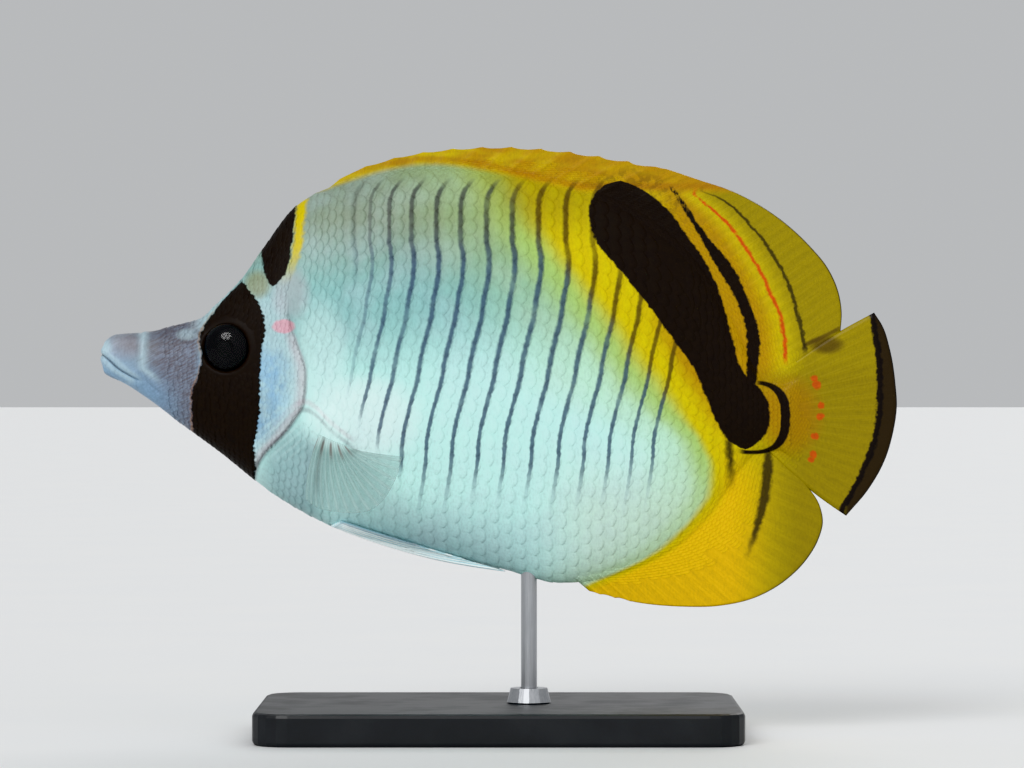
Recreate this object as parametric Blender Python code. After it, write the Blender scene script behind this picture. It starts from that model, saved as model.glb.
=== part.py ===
"""Spot-nape butterflyfish: a life-size display model held up on a plain stand.

The fish is modelled in its own coordinates: x runs back from the tip of the snout, y to its right side,
and z up from the lowest edge of its fins. An empty carries it over the stand, head towards -X.
A butterflyfish is flat from side to side, so each of its pieces is a sheet in the plane of its skeleton,
thickened to the width that the body or fin has at each point."""

import math

import bmesh
import bpy
import numpy as np
from mathutils import Matrix, Vector

MM = 0.001
GAP = 0.3  # mm left between pieces that touch

# Driving sizes, in millimetres
TOTAL_LENGTH = 199.0
FIN_CLEARANCE = 24.0  # from the stand's plate up to the lowest fin edge
EYE_RADIUS, EYE_HALF_DEPTH = 6.4, 3.9
BASE_LENGTH, BASE_WIDTH, BASE_HEIGHT = 120.0, 76.0, 8.0
BASE_CORNER, BASE_BEVEL = 9.0, 1.0
ROD_RADIUS = 2.0
ROD_STATION = 107.0  # behind the snout: between the pelvic fins' tips and the anal fin
ROD_DEPTH = 11.0  # of the rod's end inside the belly
ROD_FOOT = 5.0  # of its other end inside the plate
COLLAR_HEIGHT, COLLAR_FOOT_RADIUS, COLLAR_TOP_RADIUS = 3.5, 5.5, 4.6

# The body's outline without its fins: height at stations behind the snout
BACK = [
    (0, 64.2), (0.8, 66.4), (3.8, 68.3), (11.5, 68.9), (18.8, 70.6), (24.8, 72.2), (28, 75), (35.5, 82.6),
    (40.3, 89.5), (49, 100.6), (56, 104.6), (66, 107.6), (80, 109.6), (99, 109.2), (112, 107.2),
    (124.8, 103.6), (134.8, 98.8), (144.8, 91), (152.3, 81.6), (158.5, 70.5), (162.8, 61), (166, 56.4),
    (170.5, 55.2),
]
BELLY = [
    (0, 60), (0.8, 58.3), (5.8, 55.8), (12.3, 51.5), (18.8, 46.6), (29, 39.2), (43.8, 27.7), (57, 20.4),
    (69.8, 16.2), (84.8, 12.9), (101, 9.2), (115, 5.9), (124.8, 7), (134.8, 10.3), (144.8, 15.8),
    (151, 21.6), (156, 28.6), (160.3, 35.2), (164, 38.6), (170.5, 39.2),
]
# The body's width: half of it at its widest level, that level, and the half width left at either rim
HALF_WIDTH = [
    (0, 1.5), (0.8, 2.4), (4, 3.6), (12, 4.7), (20, 6.2), (28, 8.4), (36, 10.4), (46, 12.2), (58, 13.4),
    (74, 14), (88, 13.7), (104, 12.2), (122, 9.6), (138, 7), (152, 4.8), (162, 3.7), (170.5, 2.4),
]
WIDEST_LEVEL = [(0, 62), (14, 60), (30, 59), (60, 59), (100, 57), (130, 52), (150, 48.5), (170.5, 47.2)]
RIM_TOP = [(0, 0.8), (30, 0.6), (50, 0.7), (62, 1.3), (170.5, 1.5)]
RIM_BELLY = [(0, 0.8), (30, 0.7), (108, 0.9), (120, 1.3), (170.5, 1.5)]
# How the section thins towards its rims: 0.5 is an ellipse, 1 a sharp lens
SHARPNESS_TOP = [(0, 0.5), (30, 0.52), (60, 0.62), (100, 0.74), (150, 0.85), (170.5, 0.6)]
SHARPNESS_BELLY = [(0, 0.5), (40, 0.52), (90, 0.56), (120, 0.7), (150, 0.85), (170.5, 0.6)]

# Where the head ends: station of the gill cover's edge, at heights from throat to nape
GILL_EDGE = [
    (29, 38.2), (33.5, 38.6), (37.5, 40.5), (44.8, 47.2), (51, 51), (58, 51.6), (66, 49.4), (73, 47.3),
    (82, 47.6), (92, 48.6), (102, 49.6),
]
GILL_SLIT = 0.45  # mm along the body, which leaves GAP square to the slanting edge
COVER_STEP = 0.55  # how far the gill cover stands proud of the flank
COVER_REACH = 12.0  # from its edge forwards over which that step fades
COVER_TOP, COVER_FADE = 78.0, 10.0  # height at which the step is gone, and over which it fades
TAIL_STATION = 161.0
CAUDAL_STATION = 169.3

EYE_STATION, EYE_HEIGHT, EYE_BULGE = 31.6, 64.6, 1.6
EYE_LEAN = 14.0  # degrees that each eye turns forwards, with the cheek around it
MOUTH_LINE = [(-1, 63.4), (0.6, 62.9), (2.3, 61.6), (4.8, 59.4), (7.8, 57.9)]
MOUTH_SLIT, MOUTH_REACH = 0.4, 8.0  # the slit's height, and how far it is cut to either side
LIP_HEIGHT, LIP_WIDTH, LIPS_END = 0.6, 1.4, 14.0
NOSTRILS = [(23.7, 69), (25.2, 68.2)]
NOSTRIL_RADIUS = 0.45
SHOULDER_STATION, SHOULDER_HEIGHT = 57.5, 43.0  # the fleshy base of the pectoral fin
SHOULDER_BULGE, SHOULDER_SPREAD = 1.3, 5.5

# The fins: where each grows from the body, its margin, and its spines and rays
SPINES, DORSAL_RAYS, ANAL_SPINES, ANAL_RAYS, CAUDAL_RAYS = 12, 23, 3, 19, 17
PECTORAL_RAYS, PELVIC_SPINES, PELVIC_RAYS = 15, 1, 5
DORSAL_START, SPINES_END, DORSAL_END = 56.0, 124.5, 166.0
SPINE_MARGIN = [
    (57, 105.5), (61, 107.8), (71, 111.6), (82.3, 113.9), (92.3, 114.8), (99.8, 115), (109.8, 114.5),
    (116.8, 113.8), (124.8, 112.6), (134.8, 110.8), (141.6, 109.5),
]
SOFT_MARGIN = [
    (142.2, 109.1), (149.3, 106.9), (157.8, 104), (167.3, 98.8), (177, 90.5), (181.8, 84.6), (184.3, 79),
    (185.2, 73.6), (184.8, 69.6),
]
ANAL_START, ANAL_END = 116.0, 164.0
ANAL_MARGIN = [
    (122.3, 3.8), (127.3, 2.6), (134.8, 1), (144.8, 0.1), (154.8, 0.3), (163.5, 2.3), (171, 6.5),
    (176.3, 11.7), (179.3, 16.7), (180.5, 21.3), (179.6, 25.6), (176, 30.9), (171.3, 36.2),
]
CAUDAL_ROOT = [54.9, 47.2, 39.5]  # heights along the stalk's rear end
CAUDAL_MARGIN = [
    (193.3, 73.4), (195.4, 70.3), (197.3, 64.3), (198.7, 55.3), (199, 50.5), (198.2, 44.3),
    (195.8, 36.3), (191.8, 29.3), (186.3, 23),
]
PECTORAL_ROOT = [(62.6, 39.6), (54.8, 42.5)]  # rear end, under the leading ray, and front end
PECTORAL_SWEEP = [(0.34, 0.94, 0.04), (0.2, 0.88, 0.4), (-0.08, 0.8, 0.59), (-0.26, 0.66, 0.7)]
PECTORAL_LENGTH = [(0, 32), (0.15, 35.5), (0.35, 36.5), (0.66, 30), (1, 21)]
PECTORAL_CUP = 3.0  # how far the rays' tips bend back
PELVIC_ROOT = [(59.5, 20.1), (61.8, 23.4)]
PELVIC_TIPS = [(101.3, 8.9), (97, 10.8), (90, 13.4), (82, 16.4), (76, 18.6), (72, 20.4)]
PELVIC_BOW = 1.7  # how far the spine sags below a straight line
# Half thickness of the membranes at root and margin, and how far rays and spines stand up from them
SPINY_HALF, SOFT_HALF, CAUDAL_HALF = (1.15, 0.28), (1.3, 0.26), (1.45, 0.26)
PECTORAL_HALF, PELVIC_HALF = (0.85, 0.25), (0.5, 0.26)
RAY_RIDGE, SPINE_RIDGE, PELVIC_RIDGE = 0.24, 0.4, 0.16
RAY_FOOT = 0.3  # of the way from one ray to the next, from a ray's crest to its foot
SPINE_TIP, SPINE_FOOT = 1.03, 0.9  # reach of the spines' tips, and of the membrane between them
FIN_ROWS = [0, 0.14, 0.34, 0.56, 0.8, 1]


def smooth(points):
    """A value along rising stations, smooth and never overshooting its points."""
    stations, values = np.array(points, float).T
    rise = np.diff(values) / np.diff(stations)
    tangents = np.concatenate([rise[:1], np.zeros(len(rise) - 1), rise[-1:]])
    for i in range(1, len(rise)):
        if rise[i - 1] * rise[i] > 0:
            tangents[i] = 2 * rise[i - 1] * rise[i] / (rise[i - 1] + rise[i])
    return lambda at: hermite(stations, values, tangents, at)


def hermite(stations, values, tangents, at):
    """The value at one place on a curve that has a tangent at each of its points."""
    at = min(max(at, stations[0]), stations[-1])
    i = min(int(np.searchsorted(stations, at, "right")) - 1, len(stations) - 2)
    span = stations[i + 1] - stations[i]
    t = (at - stations[i]) / span
    near = (1 + 2 * t) * values[i] + t * span * tangents[i]
    far = (3 - 2 * t) * values[i + 1] - (1 - t) * span * tangents[i + 1]
    return float((1 - t) ** 2 * near + t * t * far)


def trace(points):
    """A smooth line through points, run from 0 to 1 at an even pace."""
    points = np.array(points, float)
    paces = np.concatenate([[0], np.cumsum(np.linalg.norm(np.diff(points, axis=0), axis=1))])
    paces /= paces[-1]
    turns = np.gradient(points, paces, axis=0)
    return lambda at: np.array([
        hermite(paces, points[:, axis], turns[:, axis], at) for axis in range(points.shape[1])
    ])


back, belly = smooth(BACK), smooth(BELLY)
half_width, widest_level = smooth(HALF_WIDTH), smooth(WIDEST_LEVEL)
rim_top, rim_belly = smooth(RIM_TOP), smooth(RIM_BELLY)
sharp_top, sharp_belly = smooth(SHARPNESS_TOP), smooth(SHARPNESS_BELLY)
gill_edge = smooth(GILL_EDGE)
mouth_line = trace(MOUTH_LINE)


def height_at(station, turn):
    """Height on the body at a station, for a turn of -90 degrees at the belly's rim to 90 at the back's."""
    level = widest_level(station)
    reach = back(station) - level if turn > 0 else level - belly(station)
    return level + reach * math.sin(math.radians(turn))


def body_half(station, height):
    """Half the body's plain width at a point, and the rim's half width outside its outline."""
    level = widest_level(station)
    edge, rim, sharpness = (back, rim_top, sharp_top) if height > level else (belly, rim_belly, sharp_belly)
    share = (height - level) / (edge(station) - level)
    fullness = max(0.0, 1 - share * share) ** sharpness(station)
    return rim(station) + (half_width(station) - rim(station)) * fullness


def ease(share):
    """From 0 to 1 with a soft start and end."""
    share = min(max(share, 0.0), 1.0)
    return share * share * (3 - 2 * share)


def near_mouth(station, height):
    """Distance to the line where the lips meet."""
    return min(math.dist(mouth_line(i / 12), (station, height)) for i in range(13))


def head_half(station, height):
    """Half the head's width, with its lips and the gill cover's raised rear edge."""
    plain = body_half(station, height)
    lip = math.exp(-((near_mouth(station, height) / LIP_WIDTH) ** 2)) if station < LIPS_END else 0
    cover = ease(1 - (gill_edge(height) - station) / COVER_REACH) * ease((COVER_TOP - height) / COVER_FADE)
    return plain + LIP_HEIGHT * lip * ease(plain / 2) + COVER_STEP * cover * ease((plain - 1) / 4)


def torso_half(station, height):
    """Half the trunk's width, with the fleshy shoulder that the pectoral fin grows from."""
    away = math.hypot(station - SHOULDER_STATION, height - SHOULDER_HEIGHT) / SHOULDER_SPREAD
    return body_half(station, height) + SHOULDER_BULGE * math.exp(-away * away)


def gill_station(turn):
    """Station where a line of constant turn along the body meets the gill cover's edge."""
    low, high = GILL_EDGE[0][0], DORSAL_START
    for _ in range(30):
        middle = (low + high) / 2
        if middle < gill_edge(height_at(middle, turn)):
            low = middle
        else:
            high = middle
    return low


def material(name, colour, roughness, metallic=0.0):
    made = bpy.data.materials.new(name)
    made.use_nodes = True
    shader = made.node_tree.nodes["Principled BSDF"]
    shader.inputs["Base Color"].default_value = (*colour, 1)
    shader.inputs["Roughness"].default_value = roughness
    shader.inputs["Metallic"].default_value = metallic
    return made


def add_object(name, mesh, finish, parent=None):
    """A smooth-shaded node of the model."""
    piece = bpy.data.objects.new(name, mesh)
    bpy.context.scene.collection.objects.link(piece)
    piece.data.materials.append(finish)
    piece.parent = parent
    piece.data.shade_smooth()
    return piece


def sheet(name, columns, rows, place, half, finish):
    """A sheet over place(u, v), thickened to half(u, v) on either side by a Solidify modifier."""
    form = bmesh.new()
    points = [[form.verts.new(Vector(place(u, v)) * MM) for v in rows] for u in columns]
    for i in range(len(columns) - 1):
        for j in range(len(rows) - 1):
            a, b, c, d = points[i][j], points[i + 1][j], points[i + 1][j + 1], points[i][j + 1]
            form.faces.new((a, b, c))
            form.faces.new((a, c, d))
    mesh = bpy.data.meshes.new(name)
    form.to_mesh(mesh)
    form.free()
    piece = add_object(name, mesh, finish, fish)
    thickness = [half(u, v) for u in columns for v in rows]
    widths = piece.vertex_groups.new(name="width")
    for index, value in enumerate(thickness):
        widths.add([index], value / max(thickness), "REPLACE")
    solid = piece.modifiers.new("width", "SOLIDIFY")
    solid.thickness = 2 * max(thickness) * MM
    solid.offset = 0
    solid.vertex_group = widths.name
    return piece


def cutter(name, mesh, parent=None):
    """A hidden shape that only cuts others."""
    piece = bpy.data.objects.new(name, mesh)
    bpy.context.scene.collection.objects.link(piece)
    piece.parent = parent
    piece.hide_render = True
    piece.display_type = "WIRE"
    return piece


def cut(piece, tool):
    boolean = piece.modifiers.new("cut by " + tool.name, "BOOLEAN")
    boolean.operation = "DIFFERENCE"
    boolean.object = tool


def cylinder(name, radius, bottom, top, x, sides=24, top_radius=None):
    """An upright round bar in the middle plane, in millimetres."""
    form = bmesh.new()
    bmesh.ops.create_cone(
        form, cap_ends=True, segments=sides, radius1=radius * MM, depth=(top - bottom) * MM,
        radius2=(radius if top_radius is None else top_radius) * MM,
    )
    bmesh.ops.translate(form, verts=form.verts, vec=Vector((x, 0, (bottom + top) / 2)) * MM)
    mesh = bpy.data.meshes.new(name)
    form.to_mesh(mesh)
    form.free()
    return mesh


def ball(name, radii, centre, lean=0.0, columns=20, rows=12):
    """An egg with its poles to either side, leant about the upright by some degrees, in millimetres."""
    form = bmesh.new()
    bmesh.ops.create_uvsphere(form, u_segments=columns, v_segments=rows, radius=MM)
    bmesh.ops.rotate(form, verts=form.verts, matrix=Matrix.Rotation(math.pi / 2, 3, "X"))
    bmesh.ops.scale(form, verts=form.verts, vec=Vector(radii))
    bmesh.ops.rotate(form, verts=form.verts, matrix=Matrix.Rotation(math.radians(lean), 3, "Z"))
    bmesh.ops.translate(form, verts=form.verts, vec=Vector(centre) * MM)
    mesh = bpy.data.meshes.new(name)
    form.to_mesh(mesh)
    form.free()
    return mesh


def evenly(count, low=0.0, high=1.0):
    """Even steps from one value to another, both ends included."""
    return [low + (high - low) * i / count for i in range(count + 1)]


def build_head():
    """Snout, cheeks and forehead back to the gill covers, with mouth, nostrils and eye sockets."""
    turns = evenly(24, -90, 90)
    edge = {turn: gill_station(turn) for turn in turns}
    stations = [0, 0.02, 0.05, 0.09, 0.14, 0.2, 0.26, *evenly(14, 0.33, 1)]

    def place(u, turn):
        station = u * edge[turn]
        return station, 0, height_at(station, turn)

    def half(u, turn):
        station, _, height = place(u, turn)
        return head_half(station, height)

    head = sheet("head", stations, turns, place, half, skin_white)
    cut(head, mouth_slit())
    for side, name in ((-1, "left"), (1, "right")):
        centre = eye_centre(side)
        grown = (EYE_RADIUS + GAP, EYE_HALF_DEPTH + GAP, EYE_RADIUS + GAP)
        cut(head, cutter("socket_" + name, ball("socket_" + name, grown, centre, side * EYE_LEAN), fish))
        for i, (station, height) in enumerate(NOSTRILS):
            pit = f"nostril_{name}_{i}"
            radii = (NOSTRIL_RADIUS, 2 * NOSTRIL_RADIUS, NOSTRIL_RADIUS)
            spot = (station, side * head_half(station, height), height)
            cut(head, cutter(pit, ball(pit, radii, spot, columns=8, rows=6), fish))


def mouth_slit():
    """A thin bent slab where the upper and the lower lip meet, straight across the snout."""
    form = bmesh.new()
    line = [mouth_line(i / 5) for i in range(6)]
    rows = []
    for i, (station, height) in enumerate(line):
        ahead = line[min(i + 1, 5)] - line[max(i - 1, 0)]
        square = np.array([-ahead[1], ahead[0]]) / np.linalg.norm(ahead) * MOUTH_SLIT / 2
        corners = [
            (station + up * square[0], out * MOUTH_REACH, height + up * square[1])
            for up, out in ((-1, -1), (1, -1), (1, 1), (-1, 1))
        ]
        rows.append([form.verts.new(Vector(corner) * MM) for corner in corners])
    for near, far in zip(rows, rows[1:]):
        for k in range(4):
            form.faces.new((near[k], far[k], far[(k + 1) % 4], near[(k + 1) % 4]))
    form.faces.new(rows[0])
    form.faces.new(rows[-1][::-1])
    bmesh.ops.recalc_face_normals(form, faces=form.faces)
    mesh = bpy.data.meshes.new("mouth_slit")
    form.to_mesh(mesh)
    form.free()
    return cutter("mouth_slit", mesh, fish)


def eye_centre(side):
    """The eye sunk square into the cheek, so that it stands out by its bulge alone."""
    sunk = EYE_HALF_DEPTH - EYE_BULGE
    lean = math.radians(EYE_LEAN)
    depth = body_half(EYE_STATION, EYE_HEIGHT) - sunk * math.cos(lean)
    return EYE_STATION + sunk * math.sin(lean), side * depth, EYE_HEIGHT


def build_eyes():
    """Both eyeballs, flattened from side to side."""
    for side, name in ((-1, "eye_left"), (1, "eye_right")):
        radii = (EYE_RADIUS, EYE_HALF_DEPTH, EYE_RADIUS)
        add_object(name, ball(name, radii, eye_centre(side), side * EYE_LEAN), eye_black, fish)


def build_torso():
    """The trunk from the gill covers to the root of the tail, with a bore in the belly for the rod."""
    turns = evenly(22, -90, 90)
    edge = {turn: gill_station(turn) + GILL_SLIT for turn in turns}

    def place(u, turn):
        station = edge[turn] + u * (TAIL_STATION - GAP / 2 - edge[turn])
        return station, 0, height_at(station, turn)

    def half(u, turn):
        station, _, height = place(u, turn)
        return torso_half(station, height)

    torso = sheet("torso", evenly(26), turns, place, half, skin_white)
    keel = belly(ROD_STATION)
    bore = cylinder("rod_bore", ROD_RADIUS + GAP, keel - ROD_DEPTH, keel + ROD_DEPTH + GAP, ROD_STATION)
    cut(torso, cutter("rod_bore", bore, fish))


def build_tail():
    """The short stalk between the trunk and the tail fin."""
    turns = evenly(14, -90, 90)

    def place(u, turn):
        station = TAIL_STATION + GAP / 2 + u * (CAUDAL_STATION - TAIL_STATION - GAP / 2)
        return station, 0, height_at(station, turn)

    def half(u, turn):
        station, _, height = place(u, turn)
        return body_half(station, height)

    sheet("tail", evenly(3), turns, place, half, skin_black)


def off_outline(outline, station, outwards):
    """A point beyond the body's outline by the gap left between touching pieces."""
    step = 0.5
    slope = (outline(station + step) - outline(station - step)) / (2 * step)
    square = np.array([-slope, 1.0]) / math.hypot(slope, 1) * outwards
    return np.array([station, outline(station)]) + square * GAP


def outline_line(outline, start, end, outwards):
    """The root of a fin along the body's outline, run from 0 to 1."""
    return trace([off_outline(outline, start + (end - start) * i / 14, outwards) for i in range(15)])


def ray_columns(rays, spines=0, spine=SPINE_RIDGE, ray=RAY_RIDGE):
    """Feet and crest of each spine and ray across a fin, with how far each stands up."""
    pitch = 1 / (spines + rays)
    columns = {0.0: 0.0, 1.0: 0.0}
    for i in range(spines + rays):
        middle = (i + 0.5) * pitch
        columns |= {middle + foot * RAY_FOOT * pitch: 0.0 for foot in (-1, 1)}
        columns[middle] = spine if i < spines else ray
    return dict(sorted(columns.items()))


def spine_columns():
    """Feet and crest of each spine of the back, set close together so that the membrane dips between."""
    columns = {0.0: 0.0, 1.0: 0.0}
    for i in range(SPINES):
        tip = (i + 0.62) / SPINES
        columns |= {tip - 0.02: 0.0, tip: SPINE_RIDGE, tip + 0.018: 0.0}
    return dict(sorted(columns.items()))


def thickness(columns, root_and_margin):
    """Half the thickness of a fin: a tapering membrane, with its rays raised between root and margin."""
    root, margin = root_and_margin

    def half(u, v):
        return root + (margin - root) * v ** 0.6 + columns[u] * ease(v / 0.3) * (1 - 0.45 * v)

    return half


def median_fin(name, columns, root, margin, halves, trim=None):
    """An upright fin in the fish's middle plane, from its root line to its margin."""

    def place(u, v):
        start, end = root(u), margin(u)
        point = start + (end - start) * v * (trim(u, v) if trim else 1)
        return point[0], 0, point[1]

    sheet(name, list(columns), FIN_ROWS, place, thickness(columns, halves), fin_yellow)


def build_dorsal_fins():
    """The spiny fin along the back, its spines laid back, and the tall soft fin behind it."""
    columns = spine_columns()

    def notch(u, v):
        return 1 if v < 1 else SPINE_TIP if columns[u] else SPINE_FOOT

    root = outline_line(back, DORSAL_START, SPINES_END, 1)
    median_fin("dorsal_fin_spiny", columns, root, trace(SPINE_MARGIN), SPINY_HALF, notch)
    root = outline_line(back, SPINES_END + 3 * GAP, DORSAL_END, 1)
    median_fin("dorsal_fin_soft", ray_columns(DORSAL_RAYS), root, trace(SOFT_MARGIN), SOFT_HALF)


def build_anal_fin():
    """Three short spines and nineteen soft rays under the rear of the body."""
    root = outline_line(belly, ANAL_START, ANAL_END, -1)
    columns = ray_columns(ANAL_RAYS, ANAL_SPINES)
    median_fin("anal_fin", columns, root, trace(ANAL_MARGIN), SOFT_HALF)


def build_caudal_fin():
    """The tail fin: a fan of seventeen rays with a slightly rounded rear edge."""
    root = trace([(CAUDAL_STATION + GAP, height) for height in CAUDAL_ROOT])
    median_fin("caudal_fin", ray_columns(CAUDAL_RAYS), root, trace(CAUDAL_MARGIN), CAUDAL_HALF)


def build_pectoral_fin(name, side):
    """A fan of fifteen rays held out and down from the shoulder, cupped a little backwards."""
    columns = ray_columns(PECTORAL_RAYS)
    root, sweep, length = trace(PECTORAL_ROOT), trace(PECTORAL_SWEEP), smooth(PECTORAL_LENGTH)

    def place(u, v):
        station, height = root(u)
        back_out_down = sweep(u) / np.linalg.norm(sweep(u)) * length(u) * v
        out = torso_half(station, height) + 1.5 * GAP + back_out_down[1]
        return station + back_out_down[0] + PECTORAL_CUP * v * v, side * out, height - back_out_down[2]

    sheet(name, list(columns), FIN_ROWS, place, thickness(columns, PECTORAL_HALF), fin_clear)


def build_pelvic_fin(name, side):
    """A spine and five rays, folded back along the belly's keel."""
    columns = ray_columns(PELVIC_RAYS, PELVIC_SPINES, 1.5 * PELVIC_RIDGE, PELVIC_RIDGE)
    root, tips = trace(PELVIC_ROOT), trace(PELVIC_TIPS)
    half = thickness(columns, PELVIC_HALF)

    def place(u, v):
        station, height = root(u) + (tips(u) - root(u)) * v
        height -= PELVIC_BOW * (1 - u) * math.sin(math.pi * v)
        flank = torso_half(station, max(height, belly(station)))
        return station, side * (flank + 3 * GAP + half(u, v)), height

    sheet(name, list(columns), FIN_ROWS, place, half, fin_white)


def build_stand():
    """A flat plate with rounded corners and one steel rod up into the belly, with a collar at its foot."""
    form = bmesh.new()
    bmesh.ops.create_cube(form, size=MM)
    bmesh.ops.scale(form, verts=form.verts, vec=(BASE_LENGTH, BASE_WIDTH, BASE_HEIGHT))
    bmesh.ops.translate(form, verts=form.verts, vec=(0, 0, BASE_HEIGHT / 2 * MM))
    upright = [e for e in form.edges if abs(e.verts[0].co.z - e.verts[1].co.z) > MM]
    bmesh.ops.bevel(form, geom=upright, offset=BASE_CORNER * MM, segments=5, profile=0.5, affect="EDGES")
    mesh = bpy.data.meshes.new("stand_base")
    form.to_mesh(mesh)
    form.free()
    base = add_object("stand_base", mesh, stand_dark)
    bevel = base.modifiers.new("worn edge", "BEVEL")
    bevel.width = BASE_BEVEL * MM
    bevel.segments = 2
    bevel.limit_method = "ANGLE"
    rod_x = ROD_STATION - TOTAL_LENGTH / 2
    foot = BASE_HEIGHT - ROD_FOOT
    top = BASE_HEIGHT + FIN_CLEARANCE + belly(ROD_STATION) + ROD_DEPTH
    add_object("stand_rod", cylinder("stand_rod", ROD_RADIUS, foot, top, rod_x), stand_steel)
    ring = BASE_HEIGHT + GAP
    collar = add_object("stand_collar", cylinder(
        "stand_collar", COLLAR_FOOT_RADIUS, ring, ring + COLLAR_HEIGHT, rod_x, top_radius=COLLAR_TOP_RADIUS
    ), stand_steel)
    above = ring + 2 * COLLAR_HEIGHT
    hole = cutter("rod_hole", cylinder("rod_hole", ROD_RADIUS + GAP, foot - GAP, above, rod_x))
    cut(base, hole)
    cut(collar, hole)


for leftover in list(bpy.data.objects):
    bpy.data.objects.remove(leftover)

skin_white = material("fish_skin", (0.62, 0.78, 0.78), 0.4)
skin_black = material("fish_skin_dark", (0.02, 0.014, 0.01), 0.4)
eye_black = material("fish_eye", (0.01, 0.01, 0.012), 0.1)
fin_yellow = material("fin_yellow", (0.72, 0.52, 0.01), 0.45)
fin_clear = material("fin_clear", (0.6, 0.72, 0.7), 0.35)
fin_white = material("fin_white", (0.66, 0.84, 0.86), 0.35)
stand_dark = material("stand_plate", (0.03, 0.03, 0.032), 0.35)
stand_steel = material("stand_steel", (0.6, 0.6, 0.62), 0.3, 1.0)

fish = bpy.data.objects.new("fish", None)
bpy.context.scene.collection.objects.link(fish)
fish.location = Vector((-TOTAL_LENGTH / 2, 0, BASE_HEIGHT + FIN_CLEARANCE)) * MM

build_head()
build_eyes()
build_torso()
build_tail()
build_dorsal_fins()
build_anal_fin()
build_caudal_fin()
for left_or_right, way in (("left", -1), ("right", 1)):
    build_pectoral_fin("pectoral_fin_" + left_or_right, way)
    build_pelvic_fin("pelvic_fin_" + left_or_right, way)
build_stand()
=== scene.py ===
"""Spot-nape butterflyfish: the looks of a life-size display model on its stand.

The fish is worked in its own millimetres: stations run back from the tip of the snout, heights up from the
lowest edge of its fins, and depths out from its middle plane. in_row turns them into the row's metres."""

import math

import bpy
import numpy as np
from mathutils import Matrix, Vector


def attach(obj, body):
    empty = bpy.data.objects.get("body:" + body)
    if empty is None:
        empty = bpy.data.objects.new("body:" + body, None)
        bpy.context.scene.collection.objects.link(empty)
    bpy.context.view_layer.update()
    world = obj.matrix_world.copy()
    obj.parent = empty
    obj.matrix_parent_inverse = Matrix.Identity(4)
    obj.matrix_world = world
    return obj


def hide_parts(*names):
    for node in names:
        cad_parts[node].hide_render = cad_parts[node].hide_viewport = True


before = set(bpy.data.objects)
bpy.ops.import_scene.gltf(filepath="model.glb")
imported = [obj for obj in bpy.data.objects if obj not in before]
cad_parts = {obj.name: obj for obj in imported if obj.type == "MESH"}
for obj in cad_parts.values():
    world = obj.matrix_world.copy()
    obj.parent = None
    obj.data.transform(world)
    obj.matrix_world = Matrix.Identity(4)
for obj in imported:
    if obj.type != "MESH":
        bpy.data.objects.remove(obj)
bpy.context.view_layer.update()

# The skin. One close, wet hide is drawn over snout, cheeks, trunk and the tail's root with no seam, and
# folded at the lips, the nostrils, the eye sockets and the gill covers. It lies a scale's depth under the
# body's outer form, and the same dyes and painted light and shade colour it and the scales that grow on it.

TOTAL_LENGTH = 199.0
LIFT = 32.0  # from the floor up to the lowest fin edge
BACK = [
    (0, 64.2), (0.8, 66.4), (3.8, 68.3), (11.5, 68.9), (18.8, 70.6), (24.8, 72.2), (28, 75), (35.5, 82.6),
    (40.3, 89.5), (49, 100.6), (56, 104.6), (66, 107.6), (80, 109.6), (99, 109.2), (112, 107.2),
    (124.8, 103.6), (134.8, 98.8), (144.8, 91), (152.3, 81.6), (158.5, 70.5), (162.8, 61), (166, 56.4),
    (170.5, 55.2),
]
BELLY = [
    (0, 60), (0.8, 58.3), (5.8, 55.8), (12.3, 51.5), (18.8, 46.6), (29, 39.2), (43.8, 27.7), (57, 20.4),
    (69.8, 16.2), (84.8, 12.9), (101, 9.2), (115, 5.9), (124.8, 7), (134.8, 10.3), (144.8, 15.8),
    (151, 21.6), (156, 28.6), (160.3, 35.2), (164, 38.6), (170.5, 39.2),
]
HALF_WIDTH = [
    (0, 1.5), (0.8, 2.4), (4, 3.6), (12, 4.7), (20, 6.2), (28, 8.4), (36, 10.4), (46, 12.2), (58, 13.4),
    (74, 14), (88, 13.7), (104, 12.2), (122, 9.6), (138, 7), (152, 4.8), (162, 3.7), (170.5, 2.4),
]
WIDEST_LEVEL = [(0, 62), (14, 60), (30, 59), (60, 59), (100, 57), (130, 52), (150, 48.5), (170.5, 47.2)]
RIM_TOP = [(0, 0.8), (30, 0.6), (50, 0.7), (62, 1.3), (170.5, 1.5)]
RIM_BELLY = [(0, 0.8), (30, 0.7), (108, 0.9), (120, 1.3), (170.5, 1.5)]
SHARPNESS_TOP = [(0, 0.5), (30, 0.52), (60, 0.62), (100, 0.74), (150, 0.85), (170.5, 0.6)]
SHARPNESS_BELLY = [(0, 0.5), (40, 0.52), (90, 0.56), (120, 0.7), (150, 0.85), (170.5, 0.6)]
SNOUT_ROUNDING, SNOUT_LEVEL = 0.9, 62.2  # radius and height of the rounded tip
SKIN_END, SKIN_END_ROUNDING = 173.0, 3.0  # inside the root of the tail fin
SCALE_DEPTH = 0.15
GILL_EDGE = [
    (29, 38.2), (33.5, 38.6), (37.5, 40.5), (44.8, 47.2), (51, 51), (58, 51.6), (66, 49.4), (73, 47.3),
    (82, 47.6), (92, 48.6), (102, 49.6),
]  # station of the gill cover's edge, at heights from throat to nape
COVER_STEP, COVER_REACH = 0.55, 12.0
COVER_TOP, COVER_FADE = 78.0, 10.0
GILL_GROOVE, GILL_GROOVE_WIDTH = 0.35, 0.7
GILL_FRONT, GILL_REAR, HALVINGS = 20.0, 60.0, 40  # the search for its edge
SHOULDER = (57.0, 43.0)
SHOULDER_BULGE, SHOULDER_RADIUS, SHOULDER_FADE = 1.1, 8.0, 4.5
EYE_STATION, EYE_HEIGHT = 31.6, 64.6
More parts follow.
